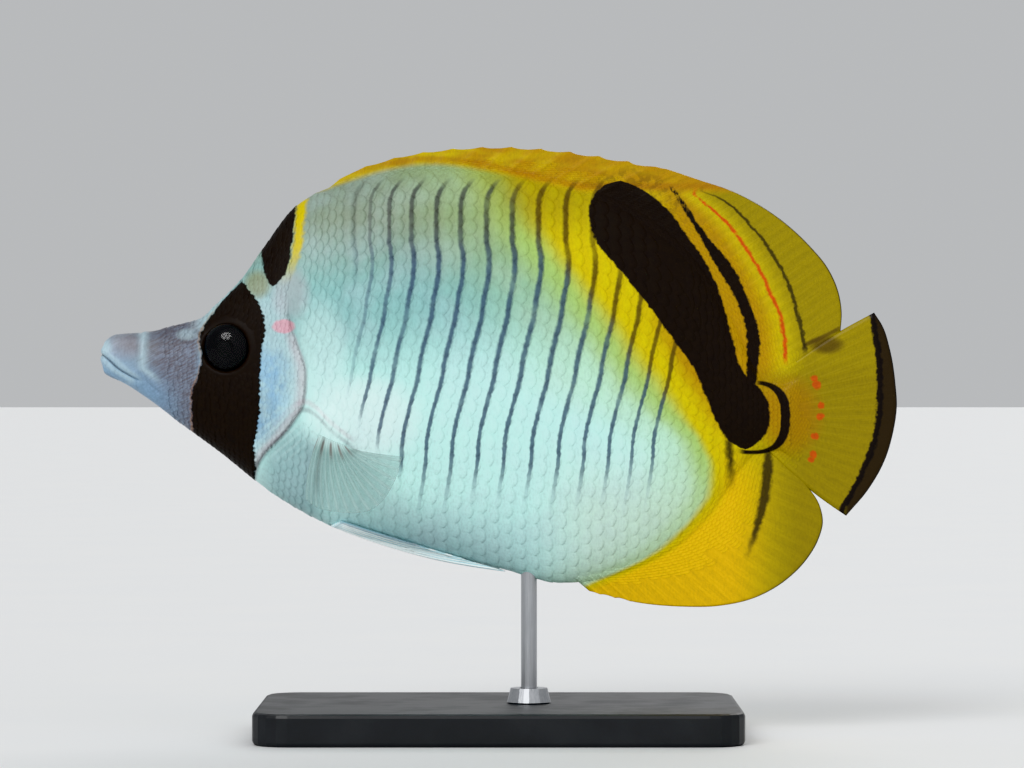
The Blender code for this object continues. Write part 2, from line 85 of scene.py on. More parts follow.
SOCKET_RADIUS, SOCKET_DEPTH, SOCKET_LIP = 5.9, 3.0, 0.6
MOUTH_LINE = [(-1, 63.4), (0.6, 62.9), (2.3, 61.6), (4.8, 59.4), (7.8, 57.6), (9.4, 56.7)]
LIP_FOLD = [(10.2, 68.4), (9.6, 64.5), (9.9, 60.5), (11.2, 57), (14.5, 53.6)]  # behind the upper lip
CHEEK_FOLD = [(41, 76), (43.4, 69), (44.4, 60), (43.4, 51), (39.6, 44.5), (34, 41)]
FOLDS = [
    (LIP_FOLD, 1, (0.2, 1.0, 0.7), (0.22, 0.4)), (CHEEK_FOLD, -1, (0.14, 0.8, 0.8), (0.14, 0.45)),
]  # line, side that swells, the swelling's height, place and width, and the crease's depth and width
LIPS_END, LIPS_FADE = 12, 3
SLIT_DEPTH, SLIT_WIDTH = 0.5, 0.26
UPPER_LIP, LOWER_LIP, LIP_PLACE, LIP_WIDTH = 0.42, 0.3, 1.1, 0.9  # heights, and how far off the slit
NOSTRILS = [(23.7, 69), (25.2, 68.2)]
NOSTRIL_RADIUS, NOSTRIL_DEPTH, NOSTRIL_RIM, NOSTRIL_RIM_WIDTH = 0.5, 0.75, 0.24, 0.26
SOCKET_RIM, SOCKET_RIM_PLACE, SOCKET_RIM_WIDTH = 0.14, 0.9, 0.8
GRAIN_DEPTH, GRAIN_END, GRAIN_FADE = 0.02, 24, 6  # of the lumps on the bare snout
RIM_SQUARENESS = 12  # of the body's upper and lower edges
HEAD_COLUMNS = (0.018, 8), (0.26, 58), (0.94, 88), (1.0, 16)  # share of the way to the gill, and steps
TRUNK_COLUMNS = (0.0012, 1), (0.01, 7), (0.1, 12), (0.97, 64), (1.0, 8)  # share of the way to the end
SKIN_ROWS = 139
PATTERN_START, PATTERN_SPAN = 0.01, 0.98  # of the skin's length on its flat pattern
SIDE_MIDDLE, SIDE_HALF = 0.25, 0.24  # of the left side on it, from belly to back
MERGE_DISTANCE = 1e-6  # in metres


def in_row(points):
    """Station, depth and height in millimetres, as the row's metres."""
    return (np.asarray(points, float) + (-TOTAL_LENGTH / 2, 0, LIFT)) * 0.001


def hermite(stations, values, tangents, at):
    """Values on a curve that has a tangent at each of its points."""
    at = np.clip(at, stations[0], stations[-1])
    i = np.clip(np.searchsorted(stations, at, "right") - 1, 0, len(stations) - 2)
    span = stations[i + 1] - stations[i]
    t = (at - stations[i]) / span
    near = (1 + 2 * t) * values[i] + t * span * tangents[i]
    far = (3 - 2 * t) * values[i + 1] - (1 - t) * span * tangents[i + 1]
    return (1 - t) ** 2 * near + t * t * far


def smooth(points):
    """A value along rising stations, smooth and never overshooting its points."""
    stations, values = np.array(points, float).T
    rise = np.diff(values) / np.diff(stations)
    tangents = np.concatenate([rise[:1], np.zeros(len(rise) - 1), rise[-1:]])
    steady = rise[:-1] * rise[1:] > 0
    tangents[1:-1][steady] = (2 * rise[:-1] * rise[1:])[steady] / (rise[:-1] + rise[1:])[steady]
    return lambda at: hermite(stations, values, tangents, at)


def trace(points):
    """A smooth line through points, run from 0 to 1 at an even pace."""
    points = np.array(points, float)
    paces = np.concatenate([[0], np.cumsum(np.linalg.norm(np.diff(points, axis=0), axis=1))])
    paces /= paces[-1]
    turns = np.gradient(points, paces, axis=0)
    return lambda at: np.stack(
        [hermite(paces, points[:, k], turns[:, k], at) for k in range(points.shape[1])], -1
    )


def ease(share):
    """From 0 to 1 with a soft start and end."""
    share = np.clip(share, 0, 1)
    return share * share * (3 - 2 * share)


def bell(distance, width):
    return np.exp(-((distance / width) ** 2))


def from_line(points, station, height):
    """Distance from a smooth line on the fish's side, and how far above it a place is."""
    line = trace(points)(np.linspace(0, 1, 60))
    ways = np.stack([station, height], -1)[..., None, :] - line
    away = np.linalg.norm(ways, axis=-1)
    nearest = away.argmin(-1)
    return away.min(-1), np.take_along_axis(ways[..., 1], nearest[..., None], -1)[..., 0]


back, belly = smooth(BACK), smooth(BELLY)
half_width, widest_level = smooth(HALF_WIDTH), smooth(WIDEST_LEVEL)
rim_top, rim_belly = smooth(RIM_TOP), smooth(RIM_BELLY)
sharp_top, sharp_belly = smooth(SHARPNESS_TOP), smooth(SHARPNESS_BELLY)
gill_edge = smooth(GILL_EDGE)


def height_at(station, rise):
    """Height on the body for a rise from -1 at the belly's edge to 1 at the back's."""
    level = widest_level(station)
    return level + rise * np.where(rise > 0, back(station) - level, level - belly(station))


def body_half(station, height):
    """Half the body's width at a place on its side, with the gill cover's step and the fleshy shoulder."""
    level = widest_level(station)
    top = height > level
    rise = np.clip((height - level) / (np.where(top, back(station), belly(station)) - level), 0, 1)
    rim = np.where(top, rim_top(station), rim_belly(station))
    sharpness = np.where(top, sharp_top(station), sharp_belly(station))
    half = (half_width(station) - rim) * (1 - rise ** 2) ** sharpness
    half = half + rim * np.sqrt(1 - rise ** RIM_SQUARENESS)
    ahead = gill_edge(height) - station
    standing = ease((COVER_TOP - height) / COVER_FADE) * ease(half / 3)
    cover = np.where(ahead >= 0, COVER_STEP * ease(1 - ahead / COVER_REACH), 0)
    groove = np.where(ahead < 0, GILL_GROOVE * bell(ahead + 0.2, GILL_GROOVE_WIDTH), 0)
    away = np.hypot(station - SHOULDER[0], height - SHOULDER[1])
    shoulder = SHOULDER_BULGE * ease((SHOULDER_RADIUS - away) / SHOULDER_FADE) * (ahead < 0)
    return half + (cover - groove) * standing + shoulder


def gill_station(rise):
    """Station where a line of constant rise meets the gill cover's edge."""
    low, high = np.full_like(rise, GILL_FRONT), np.full_like(rise, GILL_REAR)
    for _ in range(HALVINGS):
        middle = (low + high) / 2
        ahead = middle < gill_edge(height_at(middle, rise))
        low, high = np.where(ahead, middle, low), np.where(ahead, high, middle)
    return low


def face_relief(station, height):
    """How far the hide stands out from the flesh's plain form: lips, folds, nostrils and eye sockets."""
    slit, above = from_line(MOUTH_LINE, station, height)
    lips = np.where(above > 0, UPPER_LIP, LOWER_LIP) * bell(slit - LIP_PLACE, LIP_WIDTH)
    relief = ease((LIPS_END - station) / LIPS_FADE) * (lips - SLIT_DEPTH * bell(slit, SLIT_WIDTH))
    for line, side, (swell, place, breadth), (depth, width) in FOLDS:
        away, _ = from_line(line, station, height)
        _, behind = from_line([(h, s) for s, h in line], height, station)
        relief += np.where(behind * side > 0, swell, 0) * bell(away - place, breadth)
        relief -= depth * bell(away, width)
    for at in NOSTRILS:
        away = np.hypot(station - at[0], height - at[1])
        relief += NOSTRIL_RIM * bell(away - 1.5 * NOSTRIL_RADIUS, NOSTRIL_RIM_WIDTH)
        relief -= NOSTRIL_DEPTH * bell(away, NOSTRIL_RADIUS)
    eye = np.hypot(station - EYE_STATION, height - EYE_HEIGHT)
    relief += SOCKET_RIM * bell(eye - SOCKET_RADIUS - SOCKET_RIM_PLACE, SOCKET_RIM_WIDTH)
    relief -= SOCKET_DEPTH * ease((SOCKET_RADIUS - eye) / SOCKET_LIP)
    grain = np.sin(station * 1.9 + 3 * np.sin(height * 0.7))
    grain *= np.sin(height * 2.3 + 2 * np.sin(station * 0.8))
    return relief + GRAIN_DEPTH * grain * ease((GRAIN_END - station) / GRAIN_FADE)


def outward(points):
    """Unit normals of a grid of points on the fish's left side, by the run of its columns and rows."""
    ways = np.cross(np.gradient(points, axis=0), np.gradient(points, axis=1))
    ways *= np.where(ways[..., 1:2] > 0, -1, 1)
    return ways / np.maximum(np.linalg.norm(ways, axis=-1, keepdims=True), 1e-9)


def spaced(*stretches):
    """Places laid end to end: each stretch runs on to its end in its own number of steps."""
    places = [0.0]
    for end, steps in stretches:
        places.extend(np.linspace(places[-1], end, steps + 1)[1:])
    return np.array(places)


def lay_sheet(name, points, **maps):
    """A grid of faces over columns and rows of points in millimetres, with a UV map for each one named."""
    bpy.ops.object.select_all(action="DESELECT")
    columns, rows = points.shape[:2]
    bpy.ops.mesh.primitive_grid_add(x_subdivisions=columns - 1, y_subdivisions=rows - 1, size=1)
    piece = bpy.context.object
    piece.name = piece.data.name = name
    mesh = piece.data
    mesh.vertices.foreach_set("co", in_row(points).transpose(1, 0, 2).ravel())
    corners = np.empty(len(mesh.loops), int)
    mesh.loops.foreach_get("vertex_index", corners)
    mesh.uv_layers.remove(mesh.uv_layers[0])
    for title, places in maps.items():
        spots = places.transpose(1, 0, 2).reshape(-1, 2)[corners]
        mesh.uv_layers.new(name=title).uv.foreach_set("vector", spots.ravel())
    return piece


def close_up(piece):
    """Merges the points that meet and turns every face outwards."""
    bpy.context.view_layer.objects.active = piece
    bpy.ops.object.mode_set(mode="EDIT")
    bpy.ops.mesh.select_all(action="SELECT")
    bpy.ops.mesh.remove_doubles(threshold=MERGE_DISTANCE)
    bpy.ops.mesh.normals_make_consistent(inside=False)
    bpy.ops.object.mode_set(mode="OBJECT")
    bpy.ops.object.shade_smooth()


def settle(piece, finish, slot, *nodes):
    """The piece takes its finish and its place on the model."""
    piece.data.materials.append(finish.material)
    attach(piece, "root")
    if nodes:
        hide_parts(*nodes)


def skin_spot(station, rise, side=-1):
    """Place on the flat pattern of the whole skin, left side below and right side above."""
    turn = np.degrees(np.arcsin(np.clip(rise, -1, 1)))
    left = SIDE_MIDDLE + SIDE_HALF * turn / 90
    across = left if side < 0 else 1 - left
    return np.stack([PATTERN_START + PATTERN_SPAN * station / SKIN_END, across], -1)


rises = np.sin(np.radians(np.linspace(-90, 90, SKIN_ROWS)))
edges = gill_station(rises)[None, :]
head_share = spaced(*HEAD_COLUMNS)[:, None]
trunk_share = spaced(*TRUNK_COLUMNS)[1:, None]
stations = np.concatenate([head_share * edges, edges + trunk_share * (SKIN_END - edges)])
heights = height_at(stations, rises[None, :])
depths = body_half(stations, heights)
tip = np.sqrt(1 - (1 - np.clip(stations / SNOUT_ROUNDING, 0, 1)) ** 2)
end = np.sqrt(1 - np.clip((stations - SKIN_END + SKIN_END_ROUNDING) / SKIN_END_ROUNDING, 0, 1) ** 2)
heights = SNOUT_LEVEL + (heights - SNOUT_LEVEL) * tip
depths[:, [0, -1]] = 0
hide = np.stack([stations, -depths * tip * end, heights], -1)
ways = outward(hide)
ways[:, [0, -1], 1] = 0
ways[-1] = 0
ways[0] = (-1, 0, 0)
hide += ways * (face_relief(stations, heights) - SCALE_DEPTH)[..., None]
hide[:, [0, -1], 1] = 0
hide[-1, :, 1] = 0
skin = lay_sheet("skin", hide, OFBake=skin_spot(stations, rises[None, :] + 0 * stations))
mirror = skin.modifiers.new("other side", "MIRROR")
mirror.use_axis = (False, True, False)
mirror.merge_threshold = MERGE_DISTANCE
mirror.use_mirror_v = True
bpy.ops.object.modifier_apply(modifier=mirror.name)
close_up(skin)


TALLEST, LONGEST = 130.0, 200.0  # what the finishes' curves reach


class Wire:
    """A value or colour on its way through a finish's nodes, so that sums are written as in Python."""

    def __init__(self, finish, socket):
        self.finish, self.socket = finish, socket

    def sum(self, operation, *values):
        return self.finish.node("Math", {"operation": operation}, dict(enumerate(values)))

    def __add__(self, other):
        return self.sum("ADD", self, other)

    def __sub__(self, other):
        return self.sum("SUBTRACT", self, other)

    def __rsub__(self, other):
        return self.sum("SUBTRACT", other, self)

    def __mul__(self, other):
        return self.sum("MULTIPLY", self, other)

    def __truediv__(self, other):
        return self.sum("DIVIDE", self, other)

    def __pow__(self, other):
        return self.sum("POWER", self, other)

    def __abs__(self):
        return self.sum("ABSOLUTE", self)

    __radd__ = __add__

    def fraction(self):
        return self.sum("FRACT", self)

    def wave(self):
        return self.sum("SINE", self)

    def least(self, other):
        return self.sum("MINIMUM", self, other)

    def most(self, other):
        return self.sum("MAXIMUM", self, other)

    def rise(self, low, high):
        """From 0 at one value to 1 at the other, with a soft start and end."""
        return self.finish.node(
            "MapRange", {"interpolation_type": "SMOOTHSTEP"}, {"Value": self, 1: low, 2: high}
        )


class Finish:
    """A material whose nodes are all added by one method."""

    def __init__(self, name, roughness=0.4, **constants):
        self.material = bpy.data.materials.new(name)
        self.material.use_nodes = True
        self.tree = self.material.node_tree
        self.shader = self.tree.nodes["Principled BSDF"]
        self.set(Roughness=roughness, **constants)
        self.place = self.vector("MULTIPLY", self.node("TexCoord", output="Object"), (1000, 1000, 1000))
        self.station = self.part(self.place, 0) + TOTAL_LENGTH / 2
        self.height = self.part(self.place, 2) - LIFT

    def node(self, kind, settings=None, sockets=None, output=0):
        made = self.tree.nodes.new("ShaderNode" + kind)
        for name, value in (settings or {}).items():
            if name == "curve":
                self.draw(made.mapping, value)
            else:
                setattr(made, name, value)
        for name, value in (sockets or {}).items():
            self.feed(made.inputs[name], value)
        return Wire(self, made.outputs[output])

    @staticmethod
    def draw(mapping, points):
        curve = mapping.curves[0]
        curve.points[0].location, curve.points[-1].location = points[0], points[-1]
        for place in points[1:-1]:
            curve.points.new(*place)
        for point in curve.points:
            point.handle_type = "AUTO_CLAMPED"
        mapping.extend = "HORIZONTAL"
        mapping.update()

    def feed(self, socket, value):
        if isinstance(value, Wire):
            self.tree.links.new(value.socket, socket)
        else:
            socket.default_value = value

    def set(self, **sockets):
        for name, value in sockets.items():
            self.feed(self.shader.inputs[name.replace("_", " ")], value)

    def vector(self, operation, one, other):
        return self.node("VectorMath", {"operation": operation}, {0: one, 1: other})

    def part(self, vector, which):
        return self.node("SeparateXYZ", sockets={0: vector}, output=which)

    def joined(self, across, along, up=0):
        return self.node("CombineXYZ", sockets={0: across, 1: along, 2: up})

    def pattern(self, name):
        """Places across and along one of the piece's own UV maps."""
        place = self.node("UVMap", {"uv_map": name})
        return self.part(place, 0), self.part(place, 1)

    def mix(self, share, one, other, kind="MIX"):
        """One colour turning to another as the share goes from 0 to 1."""
        settings = {"data_type": "RGBA", "blend_type": kind}
        return self.node("Mix", settings, {0: share, 6: one, 7: other}, output=2)

    def noise(self, size, detail=2.0, stretch=(1, 1, 1)):
        """Soft grain from 0 to 1 whose lumps are about so many millimetres across."""
        return self.grain(self.vector("MULTIPLY", self.place, stretch), 1 / size, detail)

    def grain(self, place, scale, detail):
        return self.node("TexNoise", sockets={"Vector": place, "Scale": scale, "Detail": detail})

    def curve(self, points, at):
        return self.node("FloatCurve", {"curve": points}, {"Value": at})

    def line(self, points):
        """Station of a line on the fish's side, from its stations and heights."""
        spots = [(h / TALLEST, s / LONGEST) for s, h in sorted(points, key=lambda point: point[1])]
        return self.curve(spots, self.height / TALLEST) * LONGEST

    def level(self, points):
        """Height of a line on the fish's side, from its stations and heights."""
        spots = [(s / LONGEST, h / TALLEST) for s, h in points]
        return self.curve(spots, self.station / LONGEST) * TALLEST

    def bump(self, height, depth, strength):
        """Leans the surface's normal by a height from 0 to 1, as deep as so many millimetres."""
        sockets = {"Height": height, "Distance": depth * 0.001, "Strength": strength}
        self.set(Normal=self.node("Bump", sockets=sockets))


def screen_colour(red, green, blue):
    """A colour from its strengths on a screen, 0 to 255."""
    shares = [value / 255 for value in (red, green, blue)]
    return (*[s / 12.92 if s <= 0.04045 else ((s + 0.055) / 1.055) ** 2.4 for s in shares], 1)


# The pearl tones for the top and the belly are painted shade, and the one for the low flank is a painted lit
# band.
PEARL_TOP_SHADE, PEARL_MIDDLE, PEARL_LIT_BAND = screen_colour(130, 145, 124), screen_colour(138, 187, 185), screen_colour(206, 254, 247)
PEARL_BELLY_SHADE, PEARL_WHITE, PEARL_WARM = screen_colour(160, 197, 203), screen_colour(232, 255, 253), screen_colour(206, 222, 202)
BREAST, BLUSH = screen_colour(130, 163, 168), screen_colour(228, 146, 164)
PEARL_GREEN, LEMON, LEMON_DEEP = screen_colour(168, 200, 106), screen_colour(206, 186, 0), screen_colour(228, 180, 2)
OLIVE, CREST = screen_colour(139, 120, 0), screen_colour(178, 132, 0)
SNOUT_GREY, SNOUT_PALE, SNOUT_BROWN = screen_colour(125, 133, 150), screen_colour(155, 172, 180), screen_colour(104, 100, 108)
SNOUT_LIGHT, SNOUT_SHADE = screen_colour(180, 204, 213), screen_colour(52, 43, 47)
CHEEK, CHEEK_PALE, ROSE = screen_colour(140, 184, 219), screen_colour(186, 205, 213), screen_colour(194, 155, 168)
INK, UMBER, SLATE, ASH = screen_colour(13, 5, 3), screen_colour(78, 56, 11), screen_colour(58, 76, 104), screen_colour(66, 68, 64)
RED, GOLD, SMOKE = screen_colour(206, 58, 4), screen_colour(166, 110, 0), screen_colour(40, 28, 8)

EYE_BAND = (
    [(38, 84), (35.6, 81.8), (30, 75.8), (27, 71.5), (25, 66.8), (25.7, 62.5), (24.8, 58.2), (23.1, 52.2),
     (23.1, 44.4), (23.5, 41.8), (24.5, 36)],
    [(34, 84), (36, 80.5), (39, 77.1), (40.7, 73.7), (41.4, 68.9), (40.7, 64.2), (40.3, 57.3), (40.1, 48.7),
     (39.2, 43.1), (38.6, 40.1), (38.8, 36.2), (38.1, 30)],
)
NAPE_SPOT = (
    [(50, 102.5), (46.8, 100.2), (40.2, 90), (41, 84.5), (42.9, 80.4), (45, 79)],
    [(48, 102.5), (48.9, 100.2), (48.4, 94.4), (47.7, 88), (46.7, 83.5), (44.2, 80.4), (42, 79)],
)
REAR_BAR = (
    [(134, 107.6), (130, 106.6), (126.2, 105.7), (122.4, 101.3), (121.9, 98.5), (124.3, 90.3), (129.1, 84.6),
     (133.9, 78.8), (138.7, 72.6), (143.4, 66), (148.2, 59.2), (151.1, 52.1), (153.5, 46.8), (156.5, 41.8),
     (162, 38.8)],
    [(126, 107.6), (130, 106.6), (136.3, 103.7), (141.5, 99.4), (146.6, 92.7), (151.6, 85.5), (155.4, 76),
     (158, 66.4), (160.5, 58.5), (165.5, 53.5), (167, 47.4), (165.4, 42.5), (161.5, 39.6), (158, 38.8)],
)
SECOND_BAND = (
    [(141, 106.5), (143.6, 102.5), (149.5, 92.7), (153.6, 85.5), (159, 76), (161.4, 66.4),
     (161.2, 59.2), (160, 54)],
    [(142, 106.5), (144.9, 102.5), (151.6, 92.7), (157.6, 85.5), (162.1, 76), (164.7, 66.4),
     (164.2, 59.2), (163.4, 54)],
)
RED_LINE = [(148.2, 103), (155.4, 97), (162.6, 87.5), (167.4, 78.4), (170.2, 71.2), (171.2, 61.6)]
OUTER_BAND = [
    (150, 104), (155.4, 101.8), (162.6, 95.1), (168.3, 87.5), (172.2, 79.8), (174.6, 71.2), (176, 64.5),
]
STALK_MIDDLE = (162.8, 47.4)  # of the ring round the tail's root
STALK_OUTER, STALK_INNER = (9.4, 9.2), (7.0, 8.2)
STALK_SQUARENESS = 2.6
ANAL_BAND = [(166.8, 39.5), (166.4, 32), (164.9, 23.5), (161.4, 12.3)]
ANAL_SMUDGE = [(156.8, 41), (157.4, 31.2), (156.5, 26)]
TAIL_LINE = [
    (192.6, 74), (193.3, 70), (194, 65.6), (194.7, 55.1), (193.7, 43.2), (190.8, 34.8), (185.2, 24.2),
]
YELLOW_FROM = [
    (101, 109), (104.5, 103), (107.5, 96.5), (112, 90), (117, 84), (126, 72.6), (135, 61), (144, 49.5),
    (152, 38), (152.6, 31), (150.2, 25), (145, 19), (137, 12.8), (127, 8), (119, 4), (112, 0),
]  # half way from pearl to yellow
STRIPE_RUN = [
    (107.2, 108), (104.8, 105.5), (103, 101.8), (102.8, 96.8), (102.8, 91.8), (103.5, 86.8), (103.2, 81.8),
    (102.2, 76.8), (101.5, 71.8), (100.2, 66.8), (99, 61.8), (98.2, 56.8), (96.8, 51.8), (95.5, 46.8),
    (94.5, 41.8), (94.2, 36.8), (93.5, 31.8), (92.2, 24.2),
]  # the seventh stripe, which the others keep their distance from
STRIPE_PLACES = [-39.4, -35.3, -30.5, -25, -18.8, -12.8, -6.4, 0, 6.5, 13.3, 20, 26.3, 32.5, 38.3, 43.5]
STRIPES_FROM = [
    (61.5, 101.8), (62, 91.8), (63.5, 86.2), (65.2, 76.8), (62.8, 65.5), (62.8, 56.8), (64.8, 49.2),
    (71, 39.2), (78.5, 29.2),
]
TAIL_DOTS = [
    (178.3, 57, 1), (178.9, 55.4, 1.2), (180, 50.5, 0.9), (179.8, 47.8, 1), (178.5, 42.6, 1), (178, 38.2, 1),
    (177.5, 36.9, 0.9),
]  # stations, heights and radii
SHOULDER_FOLD = [(41.2, 39.4), (45, 44.8), (49.1, 48.6), (51.5, 49.4), (53.8, 48.4), (57.8, 44.5), (63.6, 40)]
DORSAL_HEM = [(170, 61), (174, 64), (176.4, 65.7), (180, 67.3), (185, 69.9)]  # its lower edge
CREST_FROM = [
    (0, 104), (54, 104.2), (60, 106), (66, 108), (72, 109.6), (82, 110.9), (92, 110), (120, 104),
]
NAPE_EDGE = (
    [(48.9, 102), (48.8, 95), (48, 88), (46, 83), (43, 79)],
    [(51.6, 102), (51, 95), (50.2, 88), (48, 82), (45, 78)],
)
SNOUT_FOLD = [(10.7, 68.5), (10.7, 60), (12.4, 58.4), (15, 56)]
# Soft ovals, each by the station and height of its middle and half its width and height.
BREAST_SHADE, SHOULDER_HIGHLIGHT, COVER_LIGHT = (49, 33, 11, 17), (66, 47, 17, 13), (55, 62, 9, 18)
THROAT, CHEEK_SHADE, CHEEK_SPOT = (46, 42, 9, 7), (41.5, 47, 5, 9), (45.9, 58, 4, 7)
NAPE_ROSE, PINK_SPOT = (48, 78, 6, 8), (46.3, 70, 3.8, 2.4)
TAIL_GOLD, TAIL_BROWN_PATCH = (172, 48, 10, 12), (181.4, 65.5, 5.4, 2.8)
BAR_FRINGE = (131, 106, 12, 4.5), (140, 102, 7, 6)
NOSTRIL_LIGHT, LIP_ROSE = (21.8, 68.1, 3.4, 1.9), (5.8, 65.2, 6, 4.4)
OLIVE_NAPE = (39.5, 80.5)
SNOUT_TIP = (0.6, 64.6)
STRIPE_REACH = 50.0  # from the seventh stripe, either way


def stripe_number(finish, station):
    """Rises by one from each slate stripe of the flank to the next."""
    away = (station - finish.line(STRIPE_RUN) + STRIPE_REACH) / (2 * STRIPE_REACH)
    last = len(STRIPE_PLACES) + 1
    counts = [
        ((place + STRIPE_REACH) / (2 * STRIPE_REACH), (i + 1) / last) for i, place in enumerate(STRIPE_PLACES)
    ]
    return finish.curve([(0, 0), *counts, (1, 1)], away) * last


class Coat:
    """Colours laid one over another on a finish: dyes, and painted light and shade."""

    def __init__(self, finish, ground):
        self.finish, self.colour = finish, ground

    def lay(self, colour, share):
        self.colour = self.finish.mix(share, self.colour, colour)


def markings_and_painted_light(finish):
    """The dyes of the whole fish, with its painted light and shade, laid by station and height alike on skin,
    scales and fins.
    """
    station, height = finish.station, finish.height
    fray = (finish.noise(1.3, 3) - 0.5) * 1.5
    ragged = station + fray
    mottle = finish.noise(9, 3)
    speck = finish.noise(0.5, 2, (1, 1, 0.45))

    def behind(line, soft=0.3):
        return (ragged - finish.line(line)).rise(-soft, soft)

    def between(lines, soft=0.3):
        front, rear = lines
        return behind(front, soft) * (1 - behind(rear, soft))

    def along(line, half, soft=0.3):
        return abs(ragged - finish.line(line)).rise(half + soft, half - soft)

    def patch(oval):
        """A soft oval, 1 at its middle."""
        across, up, wide, tall = oval
        return (((station - across) / wide) ** 2 + ((height - up) / tall) ** 2).rise(1, 0.1)

    def from_spot(spot):
        return (station - spot[0]) ** 2 + (height - spot[1]) ** 2

    def squarish(reach):
        """An oval round the tail's root, 1 on its outline."""
        across = abs(station + fray * 0.4 - STALK_MIDDLE[0]) / reach[0]
        up = abs(height - STALK_MIDDLE[1]) / reach[1]
        return across ** STALK_SQUARENESS + up ** STALK_SQUARENESS

    # The pale flank, with painted shade along the back and on breast and belly, and a painted lit band low on
    # its side.
    coat = Coat(finish, finish.mix(height.rise(98, 76), PEARL_TOP_SHADE, PEARL_MIDDLE))
    coat.lay(PEARL_LIT_BAND, (height - station * 0.14).rise(66, 38))
    coat.lay(PEARL_BELLY_SHADE, height.rise(32, 12) * station.rise(128, 70))
    coat.lay(PEARL_WARM, height.rise(46, 22) * station.rise(104, 126) * 0.6)
    coat.lay(BREAST, patch(BREAST_SHADE) * 0.78)
    # Painted highlight: a white patch on the shoulder.
    coat.lay(PEARL_WHITE, patch(SHOULDER_HIGHLIGHT) * 0.8)
    coat.lay(PEARL_WHITE, patch(COVER_LIGHT) * 0.35)
    coat.lay(CHEEK_PALE, mottle.rise(0.35, 0.75) * 0.25)
    # Painted shadow: a brown line along the fold round the pectoral fin's base.
    over = height - finish.level(SHOULDER_FOLD)
    shoulder = station.rise(40, 46) * station.rise(65, 61) * mottle.rise(0.2, 0.5)
    coat.lay(SNOUT_BROWN, abs(over + fray * 0.3).rise(1.1, 0.1) * shoulder * 0.4)
    coat.lay(ROSE, abs(over - 1.9).rise(1.3, 0.2) * shoulder * 0.3)

    # The blue cheek and the gill cover's rosy edge, with the pink spot above it.
    gill = station - finish.line([(s, h) for h, s in GILL_EDGE])
    cheek = gill.rise(1.5, -2.5)
    coat.lay(CHEEK_PALE, cheek * height.rise(86, 72) * 0.6)
    blue = cheek * gill.rise(-1, -8) * height.rise(70, 58)
    coat.lay(CHEEK, blue * finish.noise(3, 3).rise(0.9, 0.3) * 0.9)
    coat.lay(SLATE, patch(CHEEK_SHADE) * 0.2)
    coat.lay(ROSE, gill.rise(-3.2, -0.6) * gill.rise(0.8, 0) * height.rise(74, 66) * 0.4)
    coat.lay(SNOUT_BROWN, gill.rise(-1.1, -0.2) * gill.rise(0.5, 0) * height.rise(52, 44) * 0.4)
    coat.lay(SLATE, patch(CHEEK_SPOT) * mottle.rise(0.2, 0.7) * 0.22)
    streaks = ((height * 0.77 - station * 0.63) * 3.9).wave().rise(-0.2, 0.8)
    coat.lay(PEARL_WHITE, streaks * patch(THROAT) * 0.12)
    coat.lay(ROSE, patch(NAPE_ROSE) * 0.3)
    coat.lay(BLUSH, (patch(PINK_SPOT) - finish.noise(1.2, 3) * 0.5).rise(0, 0.6) * 0.65)

    # The yellow of back, rear and fins, which comes up through green, with painted shade at its top.
    rear = station - finish.line(YELLOW_FROM) + (mottle - 0.5) * 3
    rear = rear * (height.rise(56, 36) * 0.8 + 1)
    green = (rear.rise(-42, -3) + rear.rise(-15, -3)) * (height.rise(40, 16) * -0.24 + 0.48)
    coat.lay(PEARL_GREEN, green)
    coat.lay(LEMON, (rear * (height.rise(56, 36) * 0.5 + 1)).rise(-5, 4))
    # Painted shade: olive darkens the top of the yellow under the crest.
    coat.lay(OLIVE, height.rise(88, 102) * rear.rise(-16, 0) * station.rise(136, 118) * 0.6)
    past_red = station - finish.line(RED_LINE)
    gold = rear.rise(4, 12) * past_red.rise(1, -6) * station.rise(132, 146)
    coat.lay(GOLD, gold * height.rise(38, 52) * 0.75)
    coat.lay(OLIVE, past_red.rise(-3, 6) * height.rise(54, 60) * 0.8)
    coat.lay(LEMON_DEEP, height.rise(44, 28) * rear.rise(1, 10) * station.rise(174, 156) * 0.85)
    coat.lay(OLIVE, station.rise(156, 176) * height.rise(62, 56) * 0.9)
    coat.lay(GOLD, patch(TAIL_GOLD) * 0.6)
    # A brown patch on the tail fin's upper edge, under the dorsal fin's rear corner.
    coat.lay(UMBER, patch(TAIL_BROWN_PATCH) * 0.8)
    hem = abs(height - finish.level(DORSAL_HEM)).rise(0.9, 0.2)
    coat.lay(UMBER, hem * station.rise(174.5, 176.5) * station.rise(185.5, 184) * 0.75)

    # The crest: golden, with lemon streaks that run together in front.
    crest_from = finish.level(CREST_FROM)
    streaks = finish.noise(2.5, 2, (0.35, 1, 1)).rise(0.3, 0.7) * (station.rise(150, 84) * 0.45 + 0.2)
    streaks = streaks + station.rise(100, 82) * 0.35
    crest = (height - crest_from).rise(-1.2, 0.8) * station.rise(49, 53)
    coat.lay(finish.mix(streaks, CREST, LEMON), crest)
    seam = abs(height - crest_from - 1.2 + fray * 0.5).rise(1.3, 0.2)
    coat.lay(GOLD, seam * station.rise(60, 72) * 0.6)
    coat.lay(LEMON, between(NAPE_EDGE, 0.7) * height.rise(79, 91))
    coat.lay(OLIVE, from_spot(OLIVE_NAPE).rise(20, 2) * 0.55)

